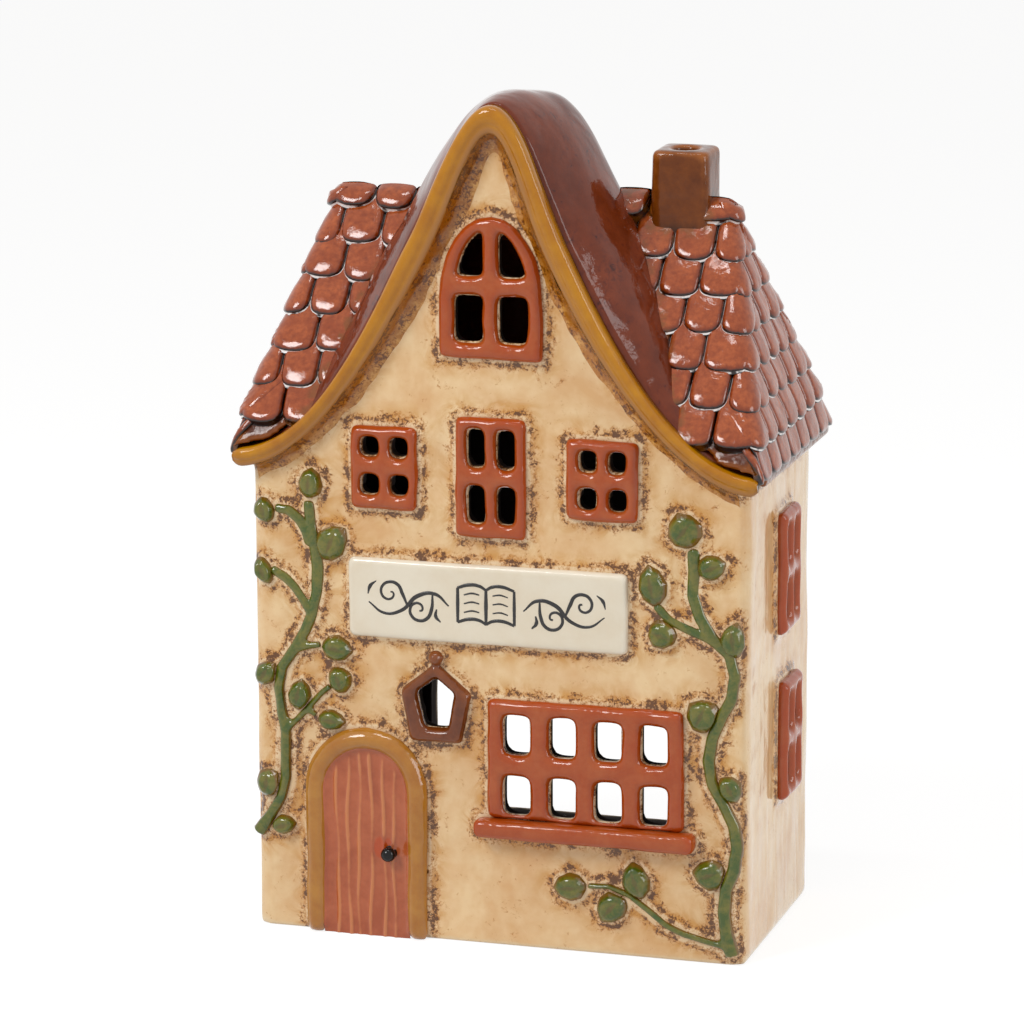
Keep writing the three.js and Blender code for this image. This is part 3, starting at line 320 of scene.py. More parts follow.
glazes = {
    "terracottaGlaze": {"thin": (170, 82, 34), "thick": (162, 66, 10), "scale": 110.0, "edge": (168, 64, 0),
        "edgeShare": 0.8, "pool": (158, 58, 14), "poolShare": 0.9, "gloss": 0.04, "ripple": 160.0, "dulling": 0.04,
        "shine": 0.4, "wave": 0.8, "coat": 0.1},
    "doorwayGlaze": {"thin": (176, 118, 32), "thick": (160, 96, 10), "scale": 60.0, "edge": (190, 136, 60),
        "edgeShare": 0.3, "pool": (126, 70, 10), "poolShare": 0.8, "gloss": 0.07, "ripple": 120.0},
    "gableGlaze": {"thin": (124, 54, 26), "thick": (98, 38, 14), "scale": 42.0, "edge": (150, 84, 52),
        "edgeShare": 0.3, "pool": (58, 24, 12), "poolShare": 0.8, "gloss": 0.05, "ripple": 70.0, "wave": 1.0,
        "bump": 0.7, "dulling": 0.05, "shine": 0.28, "coat": 0.0, "fleck": (70, 26, 16), "halo": (96, 38, 22),
        "flecks": 0.35, "fleckScale": 500.0},
    "underTileGlaze": {"thin": (104, 52, 30), "thick": (66, 30, 16), "scale": 110.0, "edge": (150, 82, 20),
        "edgeShare": 0.6, "pool": (26, 13, 9), "poolShare": 0.6, "gloss": 0.08, "ripple": 240.0, "wave": 1.0,
        "shine": 0.3, "coat": 0.0},
    "chimneyGlaze": {"thin": (118, 60, 10), "thick": (90, 40, 2), "scale": 70.0, "edge": (158, 92, 40),
        "edgeShare": 0.8, "pool": (40, 16, 4), "poolShare": 0.85, "gloss": 0.04, "ripple": 90.0, "wave": 1.0,
        "bump": 0.6, "dulling": 0.04, "shine": 0.28, "coat": 0.0},
    "lanternGlaze": {"thin": (114, 56, 20), "thick": (90, 38, 2), "scale": 120.0, "edge": (140, 76, 30),
        "edgeShare": 0.6, "pool": (70, 28, 4), "poolShare": 0.85, "gloss": 0.04, "ripple": 160.0, "dulling": 0.04,
        "wave": 0.8, "shine": 0.4, "coat": 0.1},
    "leafGlaze": {"thin": (110, 106, 28), "thick": (62, 84, 4), "scale": 200.0, "contrast": 0.6,
        "edge": (122, 78, 18), "edgeShare": 0.75, "pool": (96, 66, 12), "poolShare": 0.6, "gloss": 0.04,
        "ripple": 200.0, "shine": 0.5, "dulling": 0.06},
    "plaqueGlaze": {"thin": (228, 218, 198), "thick": (222, 208, 184), "scale": 40.0, "edge": (238, 230, 214),
        "edgeShare": 0.4, "pool": (190, 154, 100), "poolShare": 0.7, "gloss": 0.16, "ripple": 60.0, "wave": 0.4},
    "knobGlaze": {"thin": (8, 6, 5), "thick": (3, 2, 2), "gloss": 0.03, "wave": 0.2, "dulling": 0.02, "shine": 0.3,
        "bump": 0.1, "coat": 0.0},
    "strokeGlaze": {"thin": (36, 34, 34), "thick": (26, 25, 25), "gloss": 0.25, "wave": 0.1},
    "doorGlaze": {"thin": (182, 94, 52), "thick": (164, 76, 34), "scale": 80.0, "edge": (206, 128, 74),
        "edgeShare": 0.8, "pool": (184, 68, 0), "poolShare": 0.9, "gloss": 0.08, "ripple": 150.0},
    "cupMetal": {"thin": (228.5, 229.8, 231.1), "thick": (215.1, 216.5, 217.9), "scale": 200.0, "contrast": 0.4,
        "ripple": 260.0, "wave": 0.4, "peel": 0.1, "gloss": 0.26, "dulling": 0.14, "bump": 0.12, "coat": 0.0,
        "also": {"Metallic": 1.0}},
    "candleWax": {"thin": (246, 243, 234), "thick": (236, 231, 218), "scale": 160.0, "ripple": 160.0, "wave": 0.5,
        "peel": 0.15, "gloss": 0.38, "dulling": 0.2, "bump": 0.25, "coat": 0.0,
        "also": {"Subsurface Weight": 0.3, "Subsurface Scale": 0.002}},
    "wickCotton": {"thin": (240, 234, 218), "thick": (214, 204, 182), "scale": 900.0, "contrast": 0.8,
        "ripple": 1500.0, "wave": 0.8, "peel": 0.3, "gloss": 0.8, "bump": 0.1, "coat": 0.0},
}
finishes = {name: makeGlaze(name, recipe) for name, recipe in glazes.items()}


# Cream wall glaze: honey clouds, flecks where a relief stands on the wall, and inside the walls bare clay painted
# near-black as painted shade for the unlit interior
def makeWallGlaze():
    material, tree, shader = startMaterial("creamWallGlaze")
    clouds = cloudsOf(tree, (234, 202, 154), (218, 172, 118), 38.0, 0.5, 0.45)
    near, inside, foot, ends = (attributeOf(tree, name) for name in ("nearRelief", "inside", "foot", "ends"))
    honey = spread(tree, noiseOf(tree, 120.0, 4, 0.65, 1.2), 0.38, 0.66)
    honeyShare = times(tree, spread(tree, near, 7.0, 0.8), honey)
    warmed = mixColor(tree, times(tree, honeyShare, 0.9), clouds, shade(200, 140, 52))
    broken = breakOf(tree, warmed, (236, 214, 176), 0.7, (150, 100, 52), 0.7)
    ring = times(tree, spread(tree, near, 1.2, 0.6), 0.6)
    pale = mixColor(tree, ring, broken, shade(236, 214, 178))
    onRing = times(tree, spread(tree, near, 4.0, 0.9), spread(tree, near, 0.1, 1.2, 0.6, 1.0))
    flecked = flecksOf(tree, pale, (74, 34, 0), (178, 110, 18), onRing, 1350.0)
    # painted shade: the bare clay inside the walls is painted near-black for the unlit interior
    color = mixColor(tree, inside, flecked, shade(34, 21, 14))
    color = mixColor(tree, foot, color, shade(206, 176, 140))
    skin = skinOf(tree, 55.0, 0.9, 0.05, 0.1, 0.14)
    runs = noiseOf(tree, 130.0, 2, 0.5, 0.5, (1, 1, 0.12))  # glaze that ran down the end walls
    high = timesPlus(tree, runs, timesPlus(tree, ends, 0.5, 0.1), skin["Height"])
    # pale streaks on the end walls: partly the runs of glaze, partly painted reflection streaks
    paleRunSheen = times(tree, spread(tree, runs, 0.52, 0.72), times(tree, ends, 0.3))
    color = mixColor(tree, paleRunSheen, color, shade(240, 222, 196))
    dry = sums(tree, "MAXIMUM", inside, foot)
    rough = newNode(tree, "ShaderNodeMix", {0: dry, 2: skin["Roughness"], 3: 0.85}, data_type="FLOAT")
    finishGlaze(tree, shader, color, {"Roughness": rough.outputs[0], "Height": high}, 0.8)
    tree.links.new(timesPlus(tree, dry, -0.25, 0.25), shader.inputs["Coat Weight"])
    return material


# Tile glaze: red brown crowns, rusty edges, joints that are nearly black with amber spots, and painted highlight
# lines in white along the joints
def makeTileGlaze():
    material, tree, shader = startMaterial("tileGlaze")
    clouds = cloudsOf(tree, (176, 86, 36), (150, 64, 14), 150.0, 0.5, 0.45)
    depth = attributeOf(tree, "edgeDepth")  # 0 in the joints, 1 on the crown
    level = sums(tree, "ADD", depth, wanderOf(tree, 800.0, 3))
    rust = mixColor(tree, spread(tree, level, 1.12, 0.8), clouds, shade(128, 48, 0))
    dark = mixColor(tree, spread(tree, level, 0.82, 0.4), rust, shade(28, 12, 10))
    spots = spread(tree, noiseOf(tree, 330.0, 3), 0.4, 0.6)
    amber = times(tree, spread(tree, attributeOf(tree, "valley"), 0.15, 0.75), spots)
    dark = mixColor(tree, times(tree, amber, 0.7), dark, shade(120, 68, 10))
    # painted highlight: thin white lines along the joints, broken up by noise
    highlightBreaks = spread(tree, noiseOf(tree, 260.0, 3, 0.6), 0.36, 0.5)
    line = times(tree, spread(tree, attributeOf(tree, "jointHighlight"), 0.3, 0.85), highlightBreaks)
    dark = mixColor(tree, times(tree, line, 0.92), dark, shade(246, 242, 240))
    finishGlaze(tree, shader, dark, skinOf(tree, 190.0, 0.7, 0.05, 0.045, 0.05), 0.45, 0.2)
    return material


# Soffit under the gable: brown flecks over cream
def makeSoffitGlaze():
    material, tree, shader = startMaterial("soffitGlaze")
    clouds = cloudsOf(tree, (214, 160, 84), (176, 112, 30), 200.0, 0.7)
    inner = attributeOf(tree, "inner")
    ragged = timesPlus(tree, noiseOf(tree, 330.0, 4, 0.6), 1.1, inner)
    browned = mixColor(tree, spread(tree, ragged, 0.45, 1.2), clouds, shade(138, 76, 0))
    flecked = flecksOf(tree, browned, (92, 46, 0), (160, 94, 4), timesPlus(tree, inner, 0.35, 0.76), 1300.0)
    finishGlaze(tree, shader, flecked, skinOf(tree, 200.0, 0.8, 0.1, 0.12, 0.15), 0.5, 0.2)
    return material


# Bargeboard: ochre, paler at its inner edge
def makeBargeGlaze():
    material, tree, shader = startMaterial("bargeGlaze")
    clouds = cloudsOf(tree, (188, 126, 0), (166, 102, 0), 60.0, 0.4)
    low = timesPlus(tree, noiseOf(tree, 90.0, 2), 0.2, attributeOf(tree, "inner"))
    color = mixColor(tree, spread(tree, low, 0.82, 1.04), clouds, shade(164, 110, 50))
    finishGlaze(tree, shader, color, skinOf(tree, 90.0, 0.5, 0.03, 0.08, 0.08), 0.5, 0.1, 0.35)
    return material


for make in (makeWallGlaze, makeTileGlaze, makeSoffitGlaze, makeBargeGlaze):
    mixed = make()
    finishes[mixed.name] = mixed
say("glazes mixed")


# Floor and backdrop
def seenShare(tree):  # 1 for the camera, and in gloss and glass
    rays = tree.nodes.new("ShaderNodeLightPath").outputs
    return sums(tree, "MAXIMUM", rays["Is Camera Ray"],
                sums(tree, "MAXIMUM", rays["Is Glossy Ray"], rays["Is Transmission Ray"]))


def makeGround():
    world = bpy.data.worlds.new("studio")
    scene.world = world
    world.use_nodes = True
    tree = world.node_tree
    tree.nodes.clear()
    shown = seenShare(tree)
    white = newNode(tree, "ShaderNodeBackground", {"Color": (1, 1, 1, 1), "Strength": 1.0})
    soft = newNode(tree, "ShaderNodeBackground", {"Color": (1, 0.985, 0.965, 1), "Strength": 0.42})
    both = newNode(tree, "ShaderNodeMixShader", {0: shown, 1: soft.outputs[0], 2: white.outputs[0]})
    tree.links.new(both.outputs[0], tree.nodes.new("ShaderNodeOutputWorld").inputs[0])

    material, tree, shader = startMaterial("paperFloor")
    tree.nodes.remove(shader)
    shown = seenShare(tree)
    bounce = newNode(tree, "ShaderNodeBsdfDiffuse", {"Color": (0.8, 0.8, 0.79, 1)})
    shadow = newNode(tree, "ShaderNodeBsdfDiffuse", {"Color": (0.3, 0.3, 0.3, 1)})
    glow = newNode(tree, "ShaderNodeEmission", {"Color": (1, 1, 1, 1), "Strength": 0.82})
    lit = newNode(tree, "ShaderNodeAddShader", {0: shadow.outputs[0], 1: glow.outputs[0]})
    both = newNode(tree, "ShaderNodeMixShader", {0: shown, 1: bounce.outputs[0], 2: lit.outputs[0]})
    tree.links.new(both.outputs[0], tree.nodes["Material Output"].inputs[0])
    sheet = bpy.data.meshes.new("paperFloor")
    reach = 6.0
    corners = [(-reach, -reach, 0), (reach, -reach, 0), (reach, reach, 0), (-reach, reach, 0)]
    sheet.from_pydata(corners, [], [(0, 1, 2, 3)])
    sheet.materials.append(material)
    floor = bpy.data.objects.new("paperFloor", sheet)
    scene.collection.objects.link(floor)
    floor.location.z = -0.00005


makeGround()


# Mesh helpers
def clamp(values):
    return np.clip(values, 0, 1)


def ripple(points, size, seed=0):  # smooth bumps from -1 to 1, about size millimetres across
    place = np.asarray(points) / (size * mm) + seed * 17.31 + 500.0
    cell = np.floor(place).astype(np.int64)
    part = place - cell
    part = part * part * (3 - 2 * part)
    total = np.zeros(len(place))
    for corner in np.ndindex(2, 2, 2):
        x, y, z = (cell + corner).T
        key = x * 73856093 ^ y * 19349663 ^ z * 83492791
        key = (key ^ (key >> 13)) * 1274126177 & 0x7FFFFFFF
        key = (key ^ (key >> 15)) & 0xFFFFF
        total += np.where(corner, part, 1 - part).prod(1) * (key / 524287.5 - 1)
    return total


def readAll(items, key, kind, width):
    flat = np.zeros(len(items) * width, kind)
    items.foreach_get(key, flat)
    return flat.reshape(-1, width)


def pointsOf(mesh):
    return readAll(mesh.vertices, "co", np.float32, 3).astype(float)


def normalsOf(mesh):
    return readAll(mesh.vertex_normals, "vector", np.float32, 3).astype(float)


def edgesOf(mesh):
    return readAll(mesh.edges, "vertices", np.int32, 2)


def setPoints(mesh, points):
    mesh.vertices.foreach_set("co", np.asarray(points, np.float32).ravel())
    mesh.update()


def relaxed(points, edges, rounds, share=0.5):  # each point moves towards the middle of its neighbours
    first, second = edges.T
    size = len(points)
    count = np.maximum(1, np.bincount(first, minlength=size) + np.bincount(second, minlength=size))
    for _ in range(rounds):
        total = [np.bincount(first, line[second], size) + np.bincount(second, line[first], size) for line in points.T]
        points = points + share * (np.stack(total, 1) / count[:, None] - points)
    return points


def paint(mesh, name, values):  # a value at each point, which the glazes read
    layer = mesh.attributes.get(name) or mesh.attributes.new(name, "FLOAT", "POINT")
    layer.data.foreach_set("value", np.asarray(values, np.float32))


def paintRim(mesh, rounds=7):  # +1 on edges, -1 in hollows
    points = pointsOf(mesh)
    apart = ((points - relaxed(points, edgesOf(mesh), rounds)) * normalsOf(mesh)).sum(1)
    paint(mesh, "rim", np.clip(apart / max(1e-9, np.percentile(np.abs(apart), 96)), -1, 1))


def shadeSmooth(mesh):
    mesh.polygons.foreach_set("use_smooth", np.ones(len(mesh.polygons), bool))
    mesh.update()


def gridFaces(rows, count):  # quads between rows of count points each
    return [(a + i * count, a + 1 + i * count, a + 1 + (i + 1) * count, a + (i + 1) * count)
            for i in range(rows - 1) for a in range(count - 1)]


def newPiece(name, points, faces):
    mesh = bpy.data.meshes.new(name)
    mesh.from_pydata([tuple(p) for p in np.asarray(points) * mm], [], [tuple(int(i) for i in f) for f in faces])
    mesh.update()
    shadeSmooth(mesh)
    piece = bpy.data.objects.new(name, mesh)
    scene.collection.objects.link(piece)
    return piece


def settle(piece):  # applies the modifiers
    solid = bpy.data.meshes.new_from_object(piece.evaluated_get(bpy.context.evaluated_depsgraph_get()))
    old = piece.data
    piece.modifiers.clear()
    piece.data = solid
    bpy.data.meshes.remove(old)
    shadeSmooth(solid)
    return piece


# A soft clay copy of some CAD nodes: remeshed, rounded off, and with a hand-made wobble
def softCopy(name, nodes, voxel, rounds, wobble=0.0, wobbleSize=7.0, seed=1):
    points, faces = [], []
    for node in nodes:
        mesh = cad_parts[node].data
        first = len(points)
        points.extend(tuple(v.co / mm) for v in mesh.vertices)
        faces.extend(tuple(first + i for i in f.vertices) for f in mesh.polygons)
    piece = newPiece(name, points, faces)
    weld = piece.modifiers.new("weld", "WELD")
    weld.merge_threshold = 0.005 * mm
    remesh = piece.modifiers.new("clay", "REMESH")
    remesh.mode = "VOXEL"
    remesh.voxel_size = voxel * mm
    settle(piece)
    mesh = piece.data
    points = relaxed(pointsOf(mesh), edgesOf(mesh), rounds)
    if wobble:
        push = np.stack([ripple(points, wobbleSize, seed + k) for k in range(3)], 1)
        points = points + push * wobble * mm
    setPoints(mesh, points)
    paintRim(mesh)
    return piece


def swell(piece, amount, flatWays=False):  # grows a copy, or thins it where amount is below zero
    normals = normalsOf(piece.data)
    if flatWays:
        normals[:, 1] = 0
    setPoints(piece.data, pointsOf(piece.data) + normals * np.reshape(amount, (-1, 1)) * mm)


def roundBars(piece, depth, reach, axis=1):  # the flat faces fall away towards their edges
    points, normals = pointsOf(piece.data) / mm, normalsOf(piece.data)
    edges = points[np.abs(normals[:, axis]) < 0.5]
    apart = nearest(points, edges)
    outward = -1 if axis == 1 else np.sign(points[:, 0].mean())
    facing = clamp(normals[:, axis] * outward)
    points[:, axis] -= outward * depth * facing * clamp(1 - apart / reach) ** 2
    setPoints(piece.data, points * mm)


def dress(piece, finish, slot, *nodes, body="house"):
    setPoints(piece.data, np.clip(pointsOf(piece.data), *cadBox))
    piece.data.materials.clear()
    piece.data.materials.append(finishes[finish])
    if nodes:
        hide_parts(*nodes)
    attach(piece, body)
    return piece


# Walls
body = {"width": 126.0, "depth": 66.0, "wallTop": 118.5, "wall": 4.5}
frontY = -body["depth"] / 2
gable = {"thickness": 5.2, "shoulder": 7.9, "knee": (20.2, 175.0), "angle": 63.0, "up": 15.4,
         "down": 14.6, "tipReach": 22.5, "tip": (66.2, 122.8), "lean": 1.2, "apex": 209.5}
roof = {"base": 122.0, "rise": 59.3, "halfX": 66.2, "halfY": 38.8, "ridge": 49.5, "top": 181.3}


def bezier(a, b, c, d, steps):
    t = np.linspace(0, 1, steps + 1)[:, None]
    return ((1 - t) ** 3) * a + 3 * ((1 - t) ** 2) * t * b + 3 * (1 - t) * t ** 2 * c + t ** 3 * d


def gableSide(side, steps, drop):  # from the apex to the eave tip, dropped below the outer skin
    turn = math.radians(gable["angle"])
    along = np.array([math.cos(turn), -math.sin(turn)])
    inward = np.array([-math.sin(turn), -math.cos(turn)])
    apex = np.array([0, gable["apex"] - 1.2 * drop])
    knee = np.array(gable["knee"]) + inward * drop
    tip = np.array([gable["tip"][0], gable["tip"][1] - 0.85 * drop])
    shoulder = np.array([gable["shoulder"] - 0.55 * drop, apex[1]])
    upper = bezier(apex, shoulder, knee - along * gable["up"], knee, steps)
    lower = bezier(knee, knee + along * gable["down"], tip - np.array([gable["tipReach"], 0]), tip, steps)
    line = np.concatenate([upper[:-1], lower])
    height = (line[:, 1] - tip[1]) / (apex[1] - tip[1])
    return np.stack([side * line[:, 0] - gable["lean"] * np.sin(np.pi * height), line[:, 1]], 1)


def gableLine(steps, drop):  # left eave tip, over the apex, right eave tip
    return np.concatenate([gableSide(-1, steps, drop)[::-1], gableSide(1, steps, drop)[1:]])


frontWindows = ["attic_window", "upper_left_window", "upper_middle_window", "upper_right_window", "shop_window"]
frontReliefs = frontWindows + ["shop_window_sill", "lantern_window", "door_surround", "door", "sign_plaque",
                               "left_vine_stem", "right_vine_stem"]
frontReliefs += [side + "_leaf_" + str(i) for side in ("left", "right") for i in range(1, 12)]
sideReliefs = [side + "_" + level + "_window" for side in ("left", "right") for level in ("upper", "lower")]


def outlinePoints():  # where reliefs and eaves meet the walls
    found = []
    for names, axis, plane in ((frontReliefs, 1, frontY), (sideReliefs, 0, body["width"] / 2)):
        for name in names:
            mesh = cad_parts[name].data
            points, edges = pointsOf(mesh) / mm, edgesOf(mesh)
            onWall = np.abs(np.abs(points[:, axis]) - abs(plane)) < 0.12
            for a, b in edges[onWall[edges[:, 0]] & onWall[edges[:, 1]]]:
                count = max(1, int(np.linalg.norm(points[a] - points[b]) / 0.6))
                for t in range(count + 1):
                    found.append(points[a] + (points[b] - points[a]) * t / count)
    for x, z in gableLine(160, gable["thickness"] + 1.2):
        found.append(np.array([x, frontY, z]))
    w, d, top = body["width"] / 2, body["depth"] / 2, body["wallTop"]
    for s in np.linspace(-1, 1, 180):
        found += [np.array([w, s * d, top]), np.array([-w, s * d, top]), np.array([s * w, d, top])]
    return np.array(found)


def nearest(points, marks):
    tree = kdtree.KDTree(len(marks))
    for i, mark in enumerate(marks):
        tree.insert(mark, i)
    tree.balance()
    return np.array([tree.find(p)[2] for p in points])


walls = {"voxel": 0.8, "rounds": 4, "sag": 0.3, "sagSize": 21, "dimple": 0.12, "dimpleSize": 8, "fillet": 0.7,
         "filletWidth": 1.4, "flare": 1.5, "lowestHole": 5, "highestHole": 184, "atticHalf": 14.5, "reliefReach": 14,
         "darkDepth": 4.05, "darkFade": 0.4}


def buildWalls():
    nodes = ["front_wall", "rear_wall", "left_wall", "right_wall", "floor_slab"]
    piece = softCopy("glazedWalls", nodes, walls["voxel"], walls["rounds"])
    mesh = piece.data
    points, normals = pointsOf(mesh), normalsOf(mesh)
    apart = nearest(points / mm, outlinePoints())
    x, y, z = (points / mm).T
    pastX = np.abs(x) - (body["width"] / 2 - body["wall"])  # 0 on the inside of an end wall
    pastY = np.abs(y) - (body["depth"] / 2 - body["wall"])
    deep = np.maximum(pastX, pastY)
    outer = clamp((deep - 3.4) / 0.8)
    raised = clamp(z / 3)
    # the holes widen towards the inside, as a blade leaves them
    onEnds = pastX > pastY
    facing = np.abs(np.where(onEnds, normals[:, 0], normals[:, 1]))
    depth = clamp((body["wall"] - deep) / body["wall"])
    holes = (z > walls["lowestHole"]) & (z < walls["highestHole"]) & (np.abs(z - body["wallTop"]) > 4)
    holes &= (z < body["wallTop"]) | (np.abs(x) < walls["atticHalf"])
    holes &= (pastX < 4.2) | (pastY < 0)
    widen = walls["flare"] * depth * clamp(1.4 - 1.6 * facing) * holes * (deep > -0.4)
    points = points - normals * widen[:, None] * mm
    lift = walls["fillet"] * np.exp(-(apart / walls["filletWidth"]) ** 2) * outer
    sag = walls["sag"] * ripple(points, walls["sagSize"], 3)
    sag = sag + walls["dimple"] * ripple(points, walls["dimpleSize"], 4)
    setPoints(mesh, points + normals * ((sag * outer + lift) * raised)[:, None] * mm)
    paint(mesh, "nearRelief", np.clip(apart, 0, walls["reliefReach"]))
    corner = (pastX > 0.4) & (pastY > 0.4)
    # painted shade: past this depth into the wall the inside goes near-black, standing in for the unlit interior
    dark = clamp((walls["darkDepth"] - deep + 0.15 * ripple(points, 2.5, 5)) / walls["darkFade"])
    paint(mesh, "inside", np.where(corner, 0, dark))
    paint(mesh, "ends", onEnds * clamp(pastX - 3))
    paint(mesh, "foot", clamp((0.25 - z) / 0.2))
    dress(piece, "creamWallGlaze", "body_glaze", *nodes)


buildWalls()
say("walls done")


# Windows and other reliefs
# "clay" is what softCopy takes: voxel, rounds, wobble and its size. "bars" is for roundBars: depth and reach.
frameLook = {"clay": (0.48, 15, 0.26, 6.0), "sideClay": (0.48, 12, 0.26, 6.0), "bars": (0.8, 1.7)}
rolls = {  # piece: node, clay with its seed, growth, bars, glaze, slot
    "shop_sill_roll": ("shop_window_sill", (0.45, 9, 0.2, 8.0, 7), 0, None, "terracottaGlaze", "window_glaze"),
    "lantern_frame": ("lantern_window", (0.48, 12, 0.2, 5.0, 8), 0.3, (0.8, 1.7), "lanternGlaze", "brown_glaze"),
    "door_arch_roll": ("door_surround", (0.65, 24, 0.2, 9.0, 9), 0.45, (1.1, 2.6), "doorwayGlaze", "ochre_glaze"),
    "sign_tablet": ("sign_plaque", (0.45, 6, 0.1, 12.0, 10), 0, None, "plaqueGlaze", "plaque_glaze")}


def buildReliefs():
    for name in frontWindows + sideReliefs:
        onSide = name in sideReliefs
        clay = frameLook["sideClay" if onSide else "clay"]
        piece = softCopy(name + "_frame", [name], *clay, chance.randint(1, 99))
        roundBars(piece, *frameLook["bars"], 0 if onSide else 1)
        dress(piece, "terracottaGlaze", "window_glaze", name)
    for name, (node, clay, growth, bars, glaze, slot) in rolls.items():
        piece = softCopy(name, [node], *clay)
        if growth:
            swell(piece, growth)
        if bars:
            roundBars(piece, *bars)
        dress(piece, glaze, slot, node)


buildReliefs()
say("reliefs done")


# Door
doorLook = {"x": -33.4, "half": 10.9, "overlap": 0.3, "spring": 37.8, "proud": 1.4, "ridge": 0.46,
            "ridgeWidth": 0.5, "ridges": (-7.6, -4.6, -1.9, 1.2, 4.6, 7.3), "cove": 0.9, "knobPool": (4.5, 22.9),
            "poolReach": 2.9, "columns": 90, "rows": 96, "knobAt": (-27.2, 21.9), "knob": 1.85}


def buildDoor():
    columns, rows = doorLook["columns"], doorLook["rows"]
    half = doorLook["half"] + doorLook["overlap"]
    poolX, poolZ = doorLook["knobPool"]
    points, ridges = [], []
    for i in range(columns + 1):
        x = -half + 2 * half * i / columns
        top = doorLook["spring"] + math.sqrt(max(0, half * half - x * x))
        for j in range(rows + 1):
            z = top * j / rows
            edge = half - math.hypot(x, max(0.0, z - doorLook["spring"]))
            line = 0.0
            for k, place in enumerate(doorLook["ridges"]):
                bend = 0.35 * math.sin(z / 9 + k * 1.7) + 0.15 * math.sin(z / 3.1 + k)
                fade = min(1, max(0, (edge - 1.2) / 1.5))
                strength = fade * (0.75 + 0.25 * math.sin(z / 5.3 + 2 * k))
                line = max(line, strength * math.exp(-((x - place - bend) / doorLook["ridgeWidth"]) ** 2))
            fromKnob = math.hypot(x - poolX, z - poolZ)
            ridges.append(line - 1.2 * math.exp(-(fromKnob / doorLook["poolReach"]) ** 4))
            cove = doorLook["cove"] * math.exp(-max(0, edge - 0.4) / 0.7) * min(1, z / 2)
            proud = doorLook["proud"] + doorLook["ridge"] * line + cove
            proud += 0.1 * math.sin(x * 0.9 + z * 0.05)
            points.append((doorLook["x"] + x, frontY - proud, z + 0.02))
    faces = [(a, a + rows + 1, a + rows + 2, a + 1) for i in range(columns)
             for a in range(i * (rows + 1), i * (rows + 1) + rows)]
    piece = newPiece("door_planks", points, faces)
    paint(piece.data, "rim", np.clip(np.array(ridges) * 1.3, -1, 1))
    dress(piece, "doorGlaze", "door_glaze", "door")


buildDoor()


def lathe(name, profile, segments, place, axis="z"):
    points, faces = [], []
    for i in range(segments):
        turn = 2 * math.pi * i / segments
        for r, h in profile:
            a, b = r * math.cos(turn), r * math.sin(turn)
            points.append((place[0] + a, place[1] + b, place[2] + h) if axis == "z"
                          else (place[0] + a, place[1] - h, place[2] + b))
    count = len(profile)
    for i in range(segments):
        j = (i + 1) % segments
        for k in range(count - 1):
            quad = (i * count + k, j * count + k, j * count + k + 1, i * count + k + 1)
            faces.append(quad if axis == "z" else quad[::-1])
    piece = newPiece(name, points, faces)
    weld = piece.modifiers.new("weld", "WELD")
    weld.merge_threshold = 0.001 * mm
    return settle(piece)


def buildKnob():
    ball = doorLook["knob"]
    profile = [(0, -0.2), (1.9, -0.2), (1.7, 0.2), (1.25, 0.5)]
    profile += [(ball * math.cos(a), 1.95 + ball * math.sin(a)) for a in np.linspace(-0.85, 1.5, 14)] + [(0, 3.8)]
    x, z = doorLook["knobAt"]
    piece = lathe("door_knob_bead", profile, 36, (x, frontY - doorLook["proud"], z), "y")
    dress(piece, "knobGlaze", "knob_glaze", "door_knob")


buildKnob()
say("door done")


# Sign strokes: plain scrolls and an open book
sign = {"x": -1.9, "z": 86.65, "face": frontY - 2.4, "stroke": 0.42}


def strokeCurve(name, lines, thick):
    curve = bpy.data.curves.new(name, "CURVE")
    curve.dimensions = "3D"
    curve.bevel_depth = thick * mm
    curve.bevel_resolution = 3
    curve.resolution_u = 8
    for line in lines:
        spline = curve.splines.new("BEZIER")
        spline.bezier_points.add(len(line) - 1)
        for point, (x, z, width) in zip(spline.bezier_points, line):
            point.co = ((sign["x"] + x) * mm, (sign["face"] + 0.12) * mm, (sign["z"] + z) * mm)
            point.handle_left_type = point.handle_right_type = "AUTO"
            point.radius = width
    piece = bpy.data.objects.new(name, curve)
    scene.collection.objects.link(piece)
    solid = bpy.data.meshes.new_from_object(piece.evaluated_get(bpy.context.evaluated_depsgraph_get()))
    bpy.data.objects.remove(piece)
    made = bpy.data.objects.new(name, solid)
    scene.collection.objects.link(made)
    points = pointsOf(solid)  # pressed flat against the tablet
    face = sign["face"] * mm
    points[:, 1] = face + (points[:, 1] - face) * 0.45
    setPoints(solid, points)
    shadeSmooth(solid)
    return made


def spiral(cx, cz, start, turns, radius, side, steps=9):
    line = []
    for i in range(steps + 1):
        share = i / steps
        angle = start + side * turns * 2 * math.pi * share
        r = radius * (1 - share) ** 0.8 + 0.35
        line.append((cx + r * math.cos(angle), cz + r * math.sin(angle), 1.15 - 0.5 * share))
    return line


